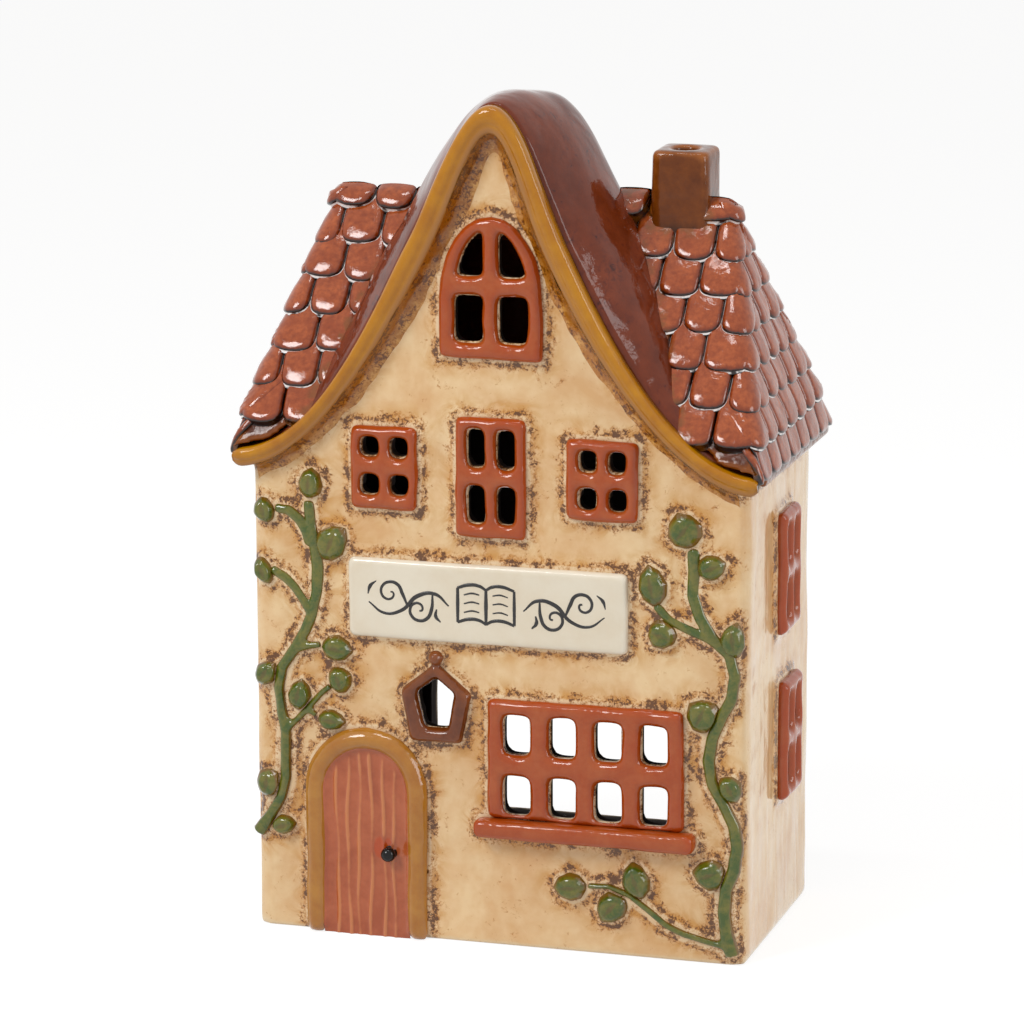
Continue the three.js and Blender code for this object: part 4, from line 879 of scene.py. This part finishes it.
rightHalf = [  # each point of a line: x, z and relative width
    [(9.5, -0.6, 0.5), (13, 2.2, 1.1), (17.5, 1.4, 1.3), (21.5, -2.4, 1.1), (26, -3.4, 0.9), (30, -0.8, 0.55)],
    [(13.6, 2.2, 0.6), *spiral(17.2, -2.0, math.pi, 1.15, 2.9, 1)],
    [(20.0, -1.4, 0.6), *spiral(24.6, 1.8, math.pi, 1.15, 2.9, -1)],
    [(28.0, 4.6, 0.5), (29.6, 3.2, 1.2), (30.2, 1.2, 0.5)], [(11.6, -4.8, 0.5), (12.8, -3.4, 1.2), (12.6, -1.6, 0.5)],
    [(0, -4.6, 0.8), (1.6, -3.7, 1.0), (4.2, -3.5, 1.1), (7.2, -4.4, 0.9)],
    [(0, 4.0, 0.8), (1.6, 4.9, 1.0), (4.2, 5.1, 1.1), (7.2, 4.2, 0.9)],
    [(7.2, 4.2, 0.9), (7.2, 0, 1.1), (7.2, -4.4, 0.9)],
    *([(1.7, z + 0.4, 0.45), (3.6, z + 0.7, 0.6), (5.6, z + 0.2, 0.45)] for z in (2.3, 0.1, -2.1))]


def buildSign():
    lines = [[(side * x, z, width) for x, z, width in line] for side in (-1, 1) for line in rightHalf]
    lines.append([(0, 4.0, 0.9), (0, 0, 1.2), (0, -4.6, 0.9)])
    piece = strokeCurve("sign_scrolls", lines, sign["stroke"])
    dress(piece, "strokeGlaze", "knob_glaze")


buildSign()
say("sign done")


# Vines
# "clay" is what softCopy takes: voxel, rounds, wobble and its size
leafLook = {"clay": (0.3, 5, 0.16, 3.0), "crown": 0.75, "crease": 0.34,
            "creaseWidth": 0.4, "veinWidth": 0.35, "fatten": 0.4, "count": 11}
stemLook = {"clay": (0.36, 9, 0.18, 4.0),
            "left": ([24, 30, 45, 70, 84, 94], [-0.1, -0.45, -0.35, -0.1, 0.15, 0.35]),  # heights and growth there
            "right": ([0, 40, 80, 100], [-0.2, -0.1, 0.15, 0.5])}


def buildStem(side):
    piece = softCopy(side + "_vine", [side + "_vine_stem"], *stemLook["clay"], chance.randint(1, 99))
    mesh = piece.data
    swell(piece, np.interp(pointsOf(mesh)[:, 2] / mm, *stemLook[side]), True)
    paint(mesh, "rim", clamp((0.78 - np.abs(normalsOf(mesh)[:, 1])) / 0.4))
    dress(piece, "leafGlaze", "leaf_glaze", side + "_vine_stem")


def buildLeaf(node):
    piece = softCopy(node + "_blade", [node], *leafLook["clay"], chance.randint(1, 99))
    mesh = piece.data
    points = pointsOf(mesh) / mm
    flat = (points - points.mean(0))[:, [0, 2]]
    axes = np.linalg.eigh(np.cov(flat.T))[1]
    along, across = flat @ axes[:, 1], flat @ axes[:, 0]
    alongShare, acrossShare = along / np.abs(along).max(), across / np.abs(across).max()
    proud = clamp((frontY - points[:, 1]) / 2.0)
    crown = leafLook["crown"] * clamp(1 - acrossShare ** 2) * clamp(1 - alongShare ** 2)
    crease = leafLook["crease"] * np.exp(-(across / leafLook["creaseWidth"]) ** 2)
    points[:, 1] -= (crown - crease * clamp(1.2 - np.abs(alongShare))) * proud
    outward = flat / (np.hypot(flat[:, 0], flat[:, 1]) + 1e-6)[:, None]
    points[:, [0, 2]] += outward * (leafLook["fatten"] * proud)[:, None]
    limit = body["width"] / 2 - 0.1
    points[:, 0] = np.clip(points[:, 0], -limit, limit)
    setPoints(mesh, points * mm)
    vein = np.exp(-(across / leafLook["veinWidth"]) ** 2) * clamp(1.1 - np.abs(alongShare))
    paint(mesh, "rim", clamp((np.hypot(alongShare, acrossShare) - 0.6) / 0.25) - 0.8 * vein)
    dress(piece, "leafGlaze", "leaf_glaze", node)


def buildVines():
    for side in ("left", "right"):
        buildStem(side)
        for i in range(1, leafLook["count"] + 1):
            buildLeaf(side + "_leaf_" + str(i))


buildVines()
say("vines done")


# Bargeboard and gable roof
barge = {"back": -34.6, "heart": (2.6, -36.7), "steps": 90, "tipLength": 3.0, "profile": [
    # drop below the curve, y, share towards the inner edge
    (0.0, -34.6, 0.0), (0.0, -36.4, 0.0), (0.12, -37.4, 0.05), (0.5, -38.2, 0.1), (1.2, -38.66, 0.2),
    (2.1, -38.75, 0.35), (2.9, -38.6, 0.5), (3.5, -38.2, 0.62), (3.9, -37.85, 0.74), (4.4, -37.75, 0.84),
    (5.1, -37.6, 0.94), (5.6, -37.2, 1.0), (5.8, -36.6, 1.0), (5.8, -34.6, 1.0)]}


def buildBargeboard():
    heartDrop, heartY = barge["heart"]
    lines = [gableLine(barge["steps"], drop) for drop, _, _ in barge["profile"]]
    count = len(lines[0])
    rings = len(barge["profile"])
    heart = gableLine(barge["steps"], heartDrop)
    points, inner = [], []
    for (drop, y, share), line in zip(barge["profile"], lines):
        for (x, z), (heartX, heartZ) in zip(line, heart):
            near = min(1, max(0.02, (gable["tip"][0] + 0.4 - abs(heartX)) / barge["tipLength"]))
            full = math.sqrt(1 - (1 - near) ** 2)
            points.append((heartX + (x - heartX) * full, heartY + (y - heartY) * full, heartZ + (z - heartZ) * full))
            inner.append(share)
    faces = gridFaces(rings, count)
    faces += [(a + (rings - 1) * count, a + 1 + (rings - 1) * count, a + 1, a) for a in range(count - 1)]
    faces += [tuple(i * count for i in range(rings))[::-1], tuple(i * count + count - 1 for i in range(rings))]
    piece = newPiece("bargeboard_roll", points, [f[::-1] for f in faces])
    swell(piece, 0.12 * ripple(pointsOf(piece.data), 11, 31) - 0.12)
    paint(piece.data, "inner", inner)
    dress(piece, "bargeGlaze", "ochre_glaze", "bargeboard")


buildBargeboard()

gableLook = {"flare": 13.0, "back": 3.0, "rounding": 8.0, "swell": 1.4, "thick": 2.2, "drip": 0.28, "wave": 0.3}


def gableLoops(stepsPerHalf):
    line = gableLine(stepsPerHalf, 0.0)
    count = len(line)
    middle = (count - 1) / 2
    flareLength = gableLook["back"] - gableLook["rounding"] - barge["back"]
    stations = [(barge["back"] + 0.02, 0.0, 1.0)]
    stations += [(barge["back"] + t * flareLength, t, 1.0) for t in np.linspace(0.06, 1, 18)]
    height = gable["apex"] - roof["base"]
    for angle in (12, 24, 36, 48, 60, 70, 80, 88):
        turn = math.radians(angle)
        y = gableLook["back"] - gableLook["rounding"] * (1 - math.sin(turn))
        stations.append((y, 1.0, 1 - gableLook["rounding"] * (1 - math.cos(turn)) / height))
    loops = []
    index = np.arange(count)
    share = np.abs(index - middle) / middle
    side = np.sign(index - middle)
    for y, flare, shrink in stations:
        fillet = 1 - (1 - flare) ** (1 + 3 * share)
        out = gableLook["flare"] * fillet * share ** 0.45 * (1 - share ** 6)
        swell = gableLook["swell"] * math.sin(math.pi * min(flare, 1) ** 0.7) * (1 - share) ** 2
        z = roof["base"] + (line[:, 1] - roof["base"]) * shrink + swell
        x = (line[:, 0] + side * out) * (shrink if flare else 1)
        loops.append(np.stack([x, np.full(count, y), z], 1))
    return loops


def slopeHeight(x, y):  # the main roof's skin above a point
    front = roof["top"] - np.abs(y) * roof["rise"] / roof["halfY"]
    end = roof["base"] + (roof["halfX"] - np.abs(x)) * roof["rise"] / (roof["halfX"] - roof["ridge"])
    return np.minimum(np.minimum(front, end), roof["top"])


def buildGable():
    loops = gableLoops(80)
    count = len(loops[0])
    rows = len(loops)
    points = np.concatenate(loops)
    # what lies under the main roof's skin is tucked just below it
    skin = slopeHeight(points[:, 0], points[:, 1]) - 0.6
    behind = points[:, 1] > frontY + body["wall"]
    points[:, 2] = np.where(behind, np.maximum(points[:, 2], skin), points[:, 2])
    faces = gridFaces(rows, count)
    last = (rows - 1) * count
    faces.append(tuple(last + a for a in range(count)))
    piece = newPiece("gable_glazed_roof", points, faces)
    mesh = piece.data
    thick = piece.modifiers.new("clay", "SOLIDIFY")
    thick.thickness = gableLook["thick"] * mm
    thick.offset = 1.0 if mesh.polygons[len(mesh.polygons) // 4].normal.z < 0 else -1.0
    settle(piece)
    mesh = piece.data
    co = pointsOf(mesh)
    x, y, z = (co / mm).T
    drips = gableLook["drip"] * ripple(co * np.array([1, 1, 0.35]), 7, 41) + gableLook["wave"] * ripple(co, 19, 42)
    swell(piece, drips * clamp((y - barge["back"]) / 3) - 0.15)
    paint(mesh, "rim", -clamp(1 - (z - slopeHeight(x, y)) / 7) * clamp((y - frontY) / 8))
    dress(piece, "gableGlaze", "roof_glaze", "gable_roof")


buildGable()


coveLook = {"half": 61.5, "steps": 90, "wobble": 0.25, "wobbleSize": 3.2, "rings": [  # drop below the curve, y
    (5.5, -37.0), (5.9, -36.2), (6.4, -35.3), (7.0, -34.5), (7.8, -33.9), (8.7, -33.4), (9.7, -33.1), (10.8, -32.7)]}


def buildSoffit():
    drops = coveLook["rings"]
    lines = [gableLine(coveLook["steps"], drop) for drop, _ in drops]
    keep = [i for i, (x, _) in enumerate(lines[-1]) if abs(x) < coveLook["half"]]
    points = [(line[i][0], y, line[i][1]) for (_, y), line in zip(drops, lines) for i in keep]
    n = len(keep)
    piece = newPiece("gable_cove", points, [f[::-1] for f in gridFaces(len(drops), n)])
    swell(piece, coveLook["wobble"] * ripple(pointsOf(piece.data), coveLook["wobbleSize"], 51))
    paint(piece.data, "inner", np.repeat(np.linspace(1, -0.25, len(drops)), n))
    dress(piece, "soffitGlaze", "body_glaze")


buildSoffit()
say("gable done")


# Main roof, chimney and tiles
bedLook = {"clay": (0.9, 4), "lift": 0.3}
chimneyLook = {"clay": (0.5, 5, 0.18, 9.0), "plain": 9, "fade": 2.4}


def buildRoofBed():
    piece = softCopy("roof_bed", ["main_roof"], *bedLook["clay"])
    co = pointsOf(piece.data)
    x, y, z = (co / mm).T
    onSlope = clamp((z - 121) / 3) * clamp(3 - np.abs(slopeHeight(x, y) - z))
    swell(piece, onSlope * bedLook["lift"] * ripple(co, 4, 61))
    dress(piece, "underTileGlaze", "roof_glaze", "main_roof")


def buildChimney():
    piece = softCopy("chimney_stack", ["chimney"], *chimneyLook["clay"], 63)
    mesh = piece.data
    x, y, z = (pointsOf(mesh) / mm).T
    above = z - slopeHeight(x, y) + 0.8 * ripple(np.stack([x, y, z], 1) * mm, 3.5, 64)
    rim = np.zeros(len(z), np.float32)
    mesh.attributes["rim"].data.foreach_get("value", rim)
    rim = np.where(above < chimneyLook["plain"], np.minimum(rim, 0.3), rim)
    paint(mesh, "rim", rim - 1.3 * np.exp(-np.maximum(above - 2, 0) / chimneyLook["fade"]))
    dress(piece, "chimneyGlaze", "brown_glaze", "chimney")


buildRoofBed()
buildChimney()

# Tiles. Each is a grid of its own between two joints, rounded at the foot, and it lies on the row below.
tiles = {"courses": 7, "firstZ": 128.6, "pitch": (181.3 - 4.1 - 128.6) / 6, "width": 10.2, "rise": 3.15,
         "fall": 2.5 / 12.1, "groove": 1.6, "lip": 0.5, "round": 1.45, "corner": 3.7, "turn": 2.0, "kneeX": 20.2,
         "saddle": 3.2, "eaveRise": 1.1, "eaveDrop": 1.15, "ridgeLift": 0.9, "skirt": 1.3, "bulge": 0.8,
         "stackLift": 1.5, "stackFrom": 8, "stackTo": 33, "hipEnd": 2.4,
         "wobble": 0.1, "wobbleSize": 3.1, "limit": (67.3, 39.9, 400.0), "amberReach": 2.6, "stackReach": 1.8,
         "eaveHollow": 0.45, "eaveFall": 0.35 / 12.1, "hiddenDepth": 1.4}
stack = {"x": 38.1, "y": 1.7, "halfX": 7.2, "halfY": 7.0}  # the chimney's foot
filled = {"from": 6, "to": 31, "front": 0.6}  # glaze has filled the ridge between the gable and the chimney
halfTile = np.array([-1.0, -1.0, -0.985, -0.955, -0.91, -0.85, -0.76, -0.6, -0.36, -0.12])
acrossTile = np.concatenate([halfTile, -halfTile[::-1]])
upTile = np.array([-0.6, -0.3, -0.1, 0, 0.07, 0.18, 0.34, 0.56, 0.85, 1.25, 1.8, 2.7, 3.9, 5.4, 7.2, 9.2, 12.0])


def halvesAt(z):
    share = clamp((z - roof["base"]) / roof["rise"])
    return roof["halfX"] - (roof["halfX"] - roof["ridge"]) * share, roof["halfY"] * (1 - share)


# Places on the roof: face and distance from its middle, height, and how far out of the skin.
# Past the end of a face they go round the hip, and past the top they bend over the ridge.
def roofPlaces(face, across, z, out):
    overTop = clamp((z - (roof["top"] - tiles["saddle"])) / tiles["saddle"])
    x, y = halvesAt(z)
    wide = face in ("front", "back")
    half, other = (x, y) if wide else (y, x)
    radius = np.minimum(tiles["turn"], np.minimum(other, half) * 0.8 + 0.05)
    straight = half - radius
    over = np.maximum(np.abs(across) - straight, 0)
    side = np.sign(across)
    turn = np.minimum(over / radius, math.pi / 2)
    rest = over - turn * radius
    a = np.where(over > 0, side * (straight + radius * np.sin(turn)), across)
    b = np.maximum(np.where(over > 0, other - radius + radius * np.cos(turn) - rest, other), 0)
    endTilt = math.atan2(roof["halfX"] - roof["ridge"], roof["rise"])
    longTilt = math.atan2(roof["halfY"], roof["rise"])
    faceTilt, sideTilt = (longTilt, endTilt) if wide else (endTilt, longTilt)
    tilt = faceTilt + (sideTilt - faceTilt) * turn / (math.pi / 2)
    if wide:
        tilt = tilt + (math.pi / 2 - tilt) * overTop ** 1.5
    aimA, aimB, flat = side * np.sin(turn), np.cos(turn), np.cos(tilt)
    a, b = a + aimA * out * flat, b + aimB * out * flat
    sink = 0.25 * tiles["saddle"] * overTop ** 2 if wide else 0.0
    height = np.minimum(z, roof["top"]) - sink + out * np.sin(tilt)
    x, y = {"front": (a, -b), "back": (-a, b), "right": (b, a), "left": (-b, -a)}[face]
    return np.stack([x, y, height], -1)


def tileRise(row, face, middle):  # the height of a tile's foot over the roof's skin
    top = tiles["rise"] * chance.uniform(0.94, 1.04) if row else tiles["eaveRise"]
    if row < tiles["courses"]:
        return top
    top += tiles["ridgeLift"]
    place = middle if face == "front" else -middle
    byStack = face in ("front", "back") and tiles["stackFrom"] < place < tiles["stackTo"]
    return top + tiles["stackLift"] * byStack


# How far a tile stands out at each point of its grid, and how rounded off it is there
def tileShape(row, top, below, long, half, corner, power, dish):
    u, up = np.meshgrid(acrossTile, upTile, indexing="ij")
    foot = corner * (1 - np.maximum(0, 1 - np.abs(u) ** power) ** (1 / power))
    v = np.where(up > 0, foot + (long - foot) * up / upTile[-1], foot + up)
    w = clamp((corner - v) / corner)
    sideShare, footShare = np.abs(u) ** power, w ** power
    full = np.maximum(sideShare + footShare, 1e-6)
    inward = np.maximum(0, 1 - full ** (1 / power)) * (half * sideShare + corner * footShare) / full
    rounded = np.sqrt(np.maximum(0, 1 - (1 - clamp(inward / tiles["round"])) ** 2))
    hollow = (tiles["groove"] * sideShare + tiles["lip"] * footShare) / full
    if row == 0:
        hollow *= tiles["eaveHollow"]
    fall = tiles["fall"] if row else tiles["eaveFall"]
    bulge = tiles["bulge"] * clamp((6.0 - v + 0.6 * foot) / 6.0) ** 2 * (row > 0)
    crown = top - fall * v - bulge + dish * (1 - u * u) * clamp(inward / 3)
    # below the foot a little glaze has run onto the row underneath
    lip = top - tiles["lip"] - 0.8 * (row > 0)
    under = tiles["rise"] - 0.25 - tiles["fall"] * (v + below) if below < 50 else np.zeros_like(v)
    if row == 0:
        under = np.full_like(v, -0.8)
    pool = np.interp(-up, [0, 0.1, 0.3, 0.6], [1, 0.42, 0.1, -0.12])
    out = np.where(up < 0, under + (lip - under) * pool, crown - hollow * (1 - rounded))
    out[[0, -1], :] -= tiles["skirt"]
    return u, up, v, out, np.where(up < 0, 0.0, rounded)


def addTile(sheet, face, joints, z, row):
    (left, leftLean), (right, rightLean) = joints
    top = tileRise(row, face, (left + right) / 2)
    below = z if row == 1 and face == "front" else tiles["pitch"]
    low, power = chance.uniform(-0.4, 0.4) * (row > 0), chance.uniform(2.3, 3.1)
    corner = tiles["corner"] * chance.uniform(0.85, 1.12)
    long = tiles["pitch"] + tiles["corner"] + 0.8 if row < tiles["courses"] else roof["top"] - z - low
    dish = chance.uniform(-0.12, 0.3)
    u, up, v, out, rounded = tileShape(row, top, below, long, (right - left) / 2, corner, power, dish)
    leftAt, rightAt = left + leftLean * (v - 4), right + rightLean * (v - 4)
    across = (leftAt + rightAt) / 2 + u * (rightAt - leftAt) / 2
    places = roofPlaces(face, across, z + low + v, out)
    if row == 0:
        places[..., 2] = np.maximum(places[..., 2], z + v)
    first, rows = len(sheet["points"]), len(upTile)
    # painted highlight lines: under each tile's foot and along its left side, none on the eave row and the lowest
    # front row
    jointHighlight = np.where((up < 0) & (up > -0.5), 1.0, 0.0)
    jointHighlight[1:4, :] = np.maximum(jointHighlight[1:4, :], (upTile >= 0) * 1.0)
    jointHighlight[0, :] = 0
    jointHighlight *= 0.0 if row < 2 and face == "front" or row == 0 else 1.0
    sheet["points"].extend(places.reshape(-1, 3))
    sheet["depth"].extend(rounded.ravel())
    sheet["jointHighlight"].extend(jointHighlight.ravel())
    hidden = np.zeros(u.shape, bool)
    if face == "front":
        hidden = gableCover(places[..., 0], places[..., 1]) - places[..., 2] > tiles["hiddenDepth"]
    covered = hidden[:-1, :-1] & hidden[1:, :-1] & hidden[:-1, 1:] & hidden[1:, 1:]
    for i, j in np.argwhere(~covered):
        a = first + i * rows + j
        sheet["faces"].append((a, a + rows, a + rows + 1, a + 1))


coverLoops = gableLoops(60)


def gableCover(x, y):  # height of the gable's outside over each place, far below where there is none
    stations = np.array([loop[0, 1] for loop in coverLoops])
    heights = np.array([np.interp(x.ravel(), loop[:, 0], loop[:, 2], left=-99, right=-99) for loop in coverLoops])
    at = np.clip(np.interp(y.ravel(), stations, np.arange(len(stations))), 0, len(stations) - 1.001)
    low = at.astype(int)
    picked = heights[low, np.arange(len(at))] * (1 - at + low) + heights[low + 1, np.arange(len(at))] * (at - low)
    return np.where(y.ravel() > gableLook["back"], -99, picked).reshape(x.shape)


def jointRow(places, loose=True):  # the joints wander a little, each shared by the tiles on both sides of it
    row = []
    for i, place in enumerate(places):
        free = loose or 0 < i < len(places) - 1
        row.append((place + free * chance.uniform(-0.5, 0.5), free * chance.uniform(-0.045, 0.045)))
    return row


def layTiles(sheet, face, joints, z, number):
    for pair in zip(joints, joints[1:]):
        addTile(sheet, face, pair, z, number)


def layFront(sheet, halfX, sideWidth, stagger, z, number):  # from both hips inwards, under the gable's edge
    width = tiles["width"]
    count = math.ceil((halfX - tiles["kneeX"] / 2) / width)
    inner = jointRow([halfX - (i + stagger) * width for i in range(count + 1)])
    line = [(halfX + sideWidth / 2, 0.0)] + inner if stagger else [(halfX, 0.0)] + inner[1:]
    for high, low in zip(line, line[1:]):
        addTile(sheet, "front", (low, high), z, number)
        shift = chance.uniform(-0.1, 0.1) * (high[0] < halfX - 1)
        addTile(sheet, "front", [(-high[0] + shift, -high[1]), (-low[0], -low[1])], z, number)


def layCourse(sheet, number):  # course 0 is the eave row, which ends at the front hips
    z = tiles["firstZ"] + (number - 1) * tiles["pitch"] if number else roof["base"] - tiles["eaveDrop"]
    halfX, halfY = (float(h) for h in halvesAt(z))
    stagger = 0.5 if number % 2 == 0 else 0.0
    sideCount, backCount = max(1, round(2 * halfY / tiles["width"])), round(2 * halfX / tiles["width"])
    sideWidth, backWidth = 2 * halfY / sideCount, 2 * halfX / backCount
    last = 0 if stagger else 1
    if number:
        layFront(sheet, halfX, sideWidth, stagger, z, number)
    for face in ("right", "left"):
        places = [(i + stagger) * sideWidth - halfY for i in range(sideCount + last)]
        layTiles(sheet, face, jointRow(places, False), z, number)
    places = [(i + stagger) * backWidth - halfX for i in range(backCount + last)]
    if stagger:
        places = [-halfX - sideWidth / 2] + places + [halfX + sideWidth / 2]
    layTiles(sheet, "back", jointRow(places, False), z, number)
    if number == 0:
        near, far = -halfY + tiles["hipEnd"], -halfY + sideWidth / 2
        addTile(sheet, "left", [(-far, 0.0), (-near, 0.0)], z, number)
        addTile(sheet, "right", [(near, 0.0), (far, 0.0)], z, number)


def buildTiles():
    for number in range(1, tiles["courses"] + 1):
        sheet = {"points": [], "faces": [], "depth": [], "jointHighlight": []}
        for row in (number, 0) if number == 1 else (number,):
            layCourse(sheet, row)
        piece = newPiece("tile_row_" + str(number), sheet["points"], sheet["faces"])
        mesh = piece.data
        co = pointsOf(mesh)
        x, y, z = (co / mm).T
        valley = np.exp(-np.abs(gableCover(x, y) - z) / tiles["amberReach"]) * (y < 4)
        nearStack = np.maximum(np.abs(x - stack["x"]) - stack["halfX"], np.abs(y - stack["y"]) - stack["halfY"])
        valley = np.maximum(valley, np.exp(-np.maximum(nearStack, 0) / tiles["stackReach"]))
        pooled = (number == tiles["courses"]) & (x > filled["from"]) & (x < filled["to"]) & (y < filled["front"])
        paint(mesh, "edgeDepth", sheet["depth"])
        paint(mesh, "jointHighlight", np.where(pooled, 0.0, sheet["jointHighlight"]))
        paint(mesh, "valley", np.where(pooled, 1.0, valley))
        bumps = np.stack([ripple(co, tiles["wobbleSize"], 70 + number + 9 * k) for k in range(3)], 1)
        limit = np.array(tiles["limit"])
        setPoints(mesh, np.clip(co / mm + tiles["wobble"] * bumps, -limit, limit) * mm)
        nodes = ["tile_course_" + str(number)] + ["tile_course_7_right"] * (number == tiles["courses"])
        dress(piece, "tileGlaze", "tile_glaze", *nodes)


buildTiles()
say("tiles done")


# Tealight
tealight = {"place": (0, -4, 4.1), "flutes": 48, "flute": 0.1, "fluteRadius": 17.4, "wickFoot": 1.32,
            "wickTop": 17.45, "wick": 0.5, "twist": 1.9}
turned = {  # piece: segments, finish, slot, node, and its profile as radius and height
    "candle_cup": (tealight["flutes"] * 4, "cupMetal", "cup_metal", "tealight_cup", [
        (0, 0.0), (16.8, 0.0), (17.6, 0.12), (18.15, 0.6), (18.4, 2.5), (18.7, 7.0), (19.0, 12.0), (19.12, 15.0),
        (19.35, 15.45), (19.4, 15.8), (19.2, 16.0), (18.9, 15.9), (18.7, 15.4), (18.5, 12.0), (17.75, 1.2),
        (17.3, 0.65), (0, 0.6)]),
    "candle_wax": (96, "candleWax", "wax", "tealight_wax", [
        (6.4, 0.75), (17.0, 0.75), (17.1, 6.0), (17.2, 12.2), (17.15, 12.75), (16.6, 12.85), (14, 12.7), (9, 12.66),
        (4, 12.6), (2.2, 12.5), (1.2, 12.35), (0.75, 12.2), (0.72, 1.45), (6.4, 1.45), (6.4, 0.75)]),
    "wick_foot": (48, "cupMetal", "wick_tab_metal", "wick_tab", [
        (0, 0.72), (5.6, 0.72), (5.95, 0.85), (6.0, 1.1), (5.7, 1.28), (4.6, 1.2), (1.6, 1.22), (0.7, 1.28),
        (0, 1.29)])}


def fluteCup(mesh):
    co = pointsOf(mesh)
    x, y, z = (co / mm - np.array(tealight["place"])).T
    turn, wall = np.arctan2(y, x), np.hypot(x, y) > tealight["fluteRadius"]
    flute = tealight["flute"] * np.cos(tealight["flutes"] * turn) * clamp((z - 1) / 2) * clamp((15 - z) / 2)
    inward = (flute * wall + tealight["flute"] * wall) * mm
    setPoints(mesh, co - np.stack([np.cos(turn) * inward, np.sin(turn) * inward, 0 * inward], 1))


def buildTealight():
    for name, (segments, finish, slot, node, profile) in turned.items():
        piece = lathe(name, profile, segments, tealight["place"])
        if name == "candle_cup":
            fluteCup(piece.data)
        dress(piece, finish, slot, node, body="tealight")
    rings, sides = 80, 18
    x, y, base = tealight["place"]
    points = []
    for i in range(rings + 1):
        z = tealight["wickFoot"] + (tealight["wickTop"] - tealight["wickFoot"]) * i / rings
        thin = {rings - 2: 0.8, rings - 1: 0.55, rings: 0.2}.get(i, 1.0)
        for k in range(sides):
            turn = 2 * math.pi * k / sides
            r = tealight["wick"] * thin * (1 + 0.16 * math.cos(3 * (turn - z * tealight["twist"])))
            points.append((x + r * math.cos(turn), y + r * math.sin(turn), base + z))
    faces = [(i * sides + k, i * sides + (k + 1) % sides, (i + 1) * sides + (k + 1) % sides, (i + 1) * sides + k)
             for i in range(rings) for k in range(sides)]
    faces += [tuple(range(rings * sides, (rings + 1) * sides)), tuple(range(sides))[::-1]]
    wick = newPiece("braided_wick", points, faces)
    dress(wick, "wickCotton", "wick_cotton", "wick", body="tealight")


buildTealight()
say("tealight done")

for name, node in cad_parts.items():
    if not node.hide_render:
        say("still bare: " + name)
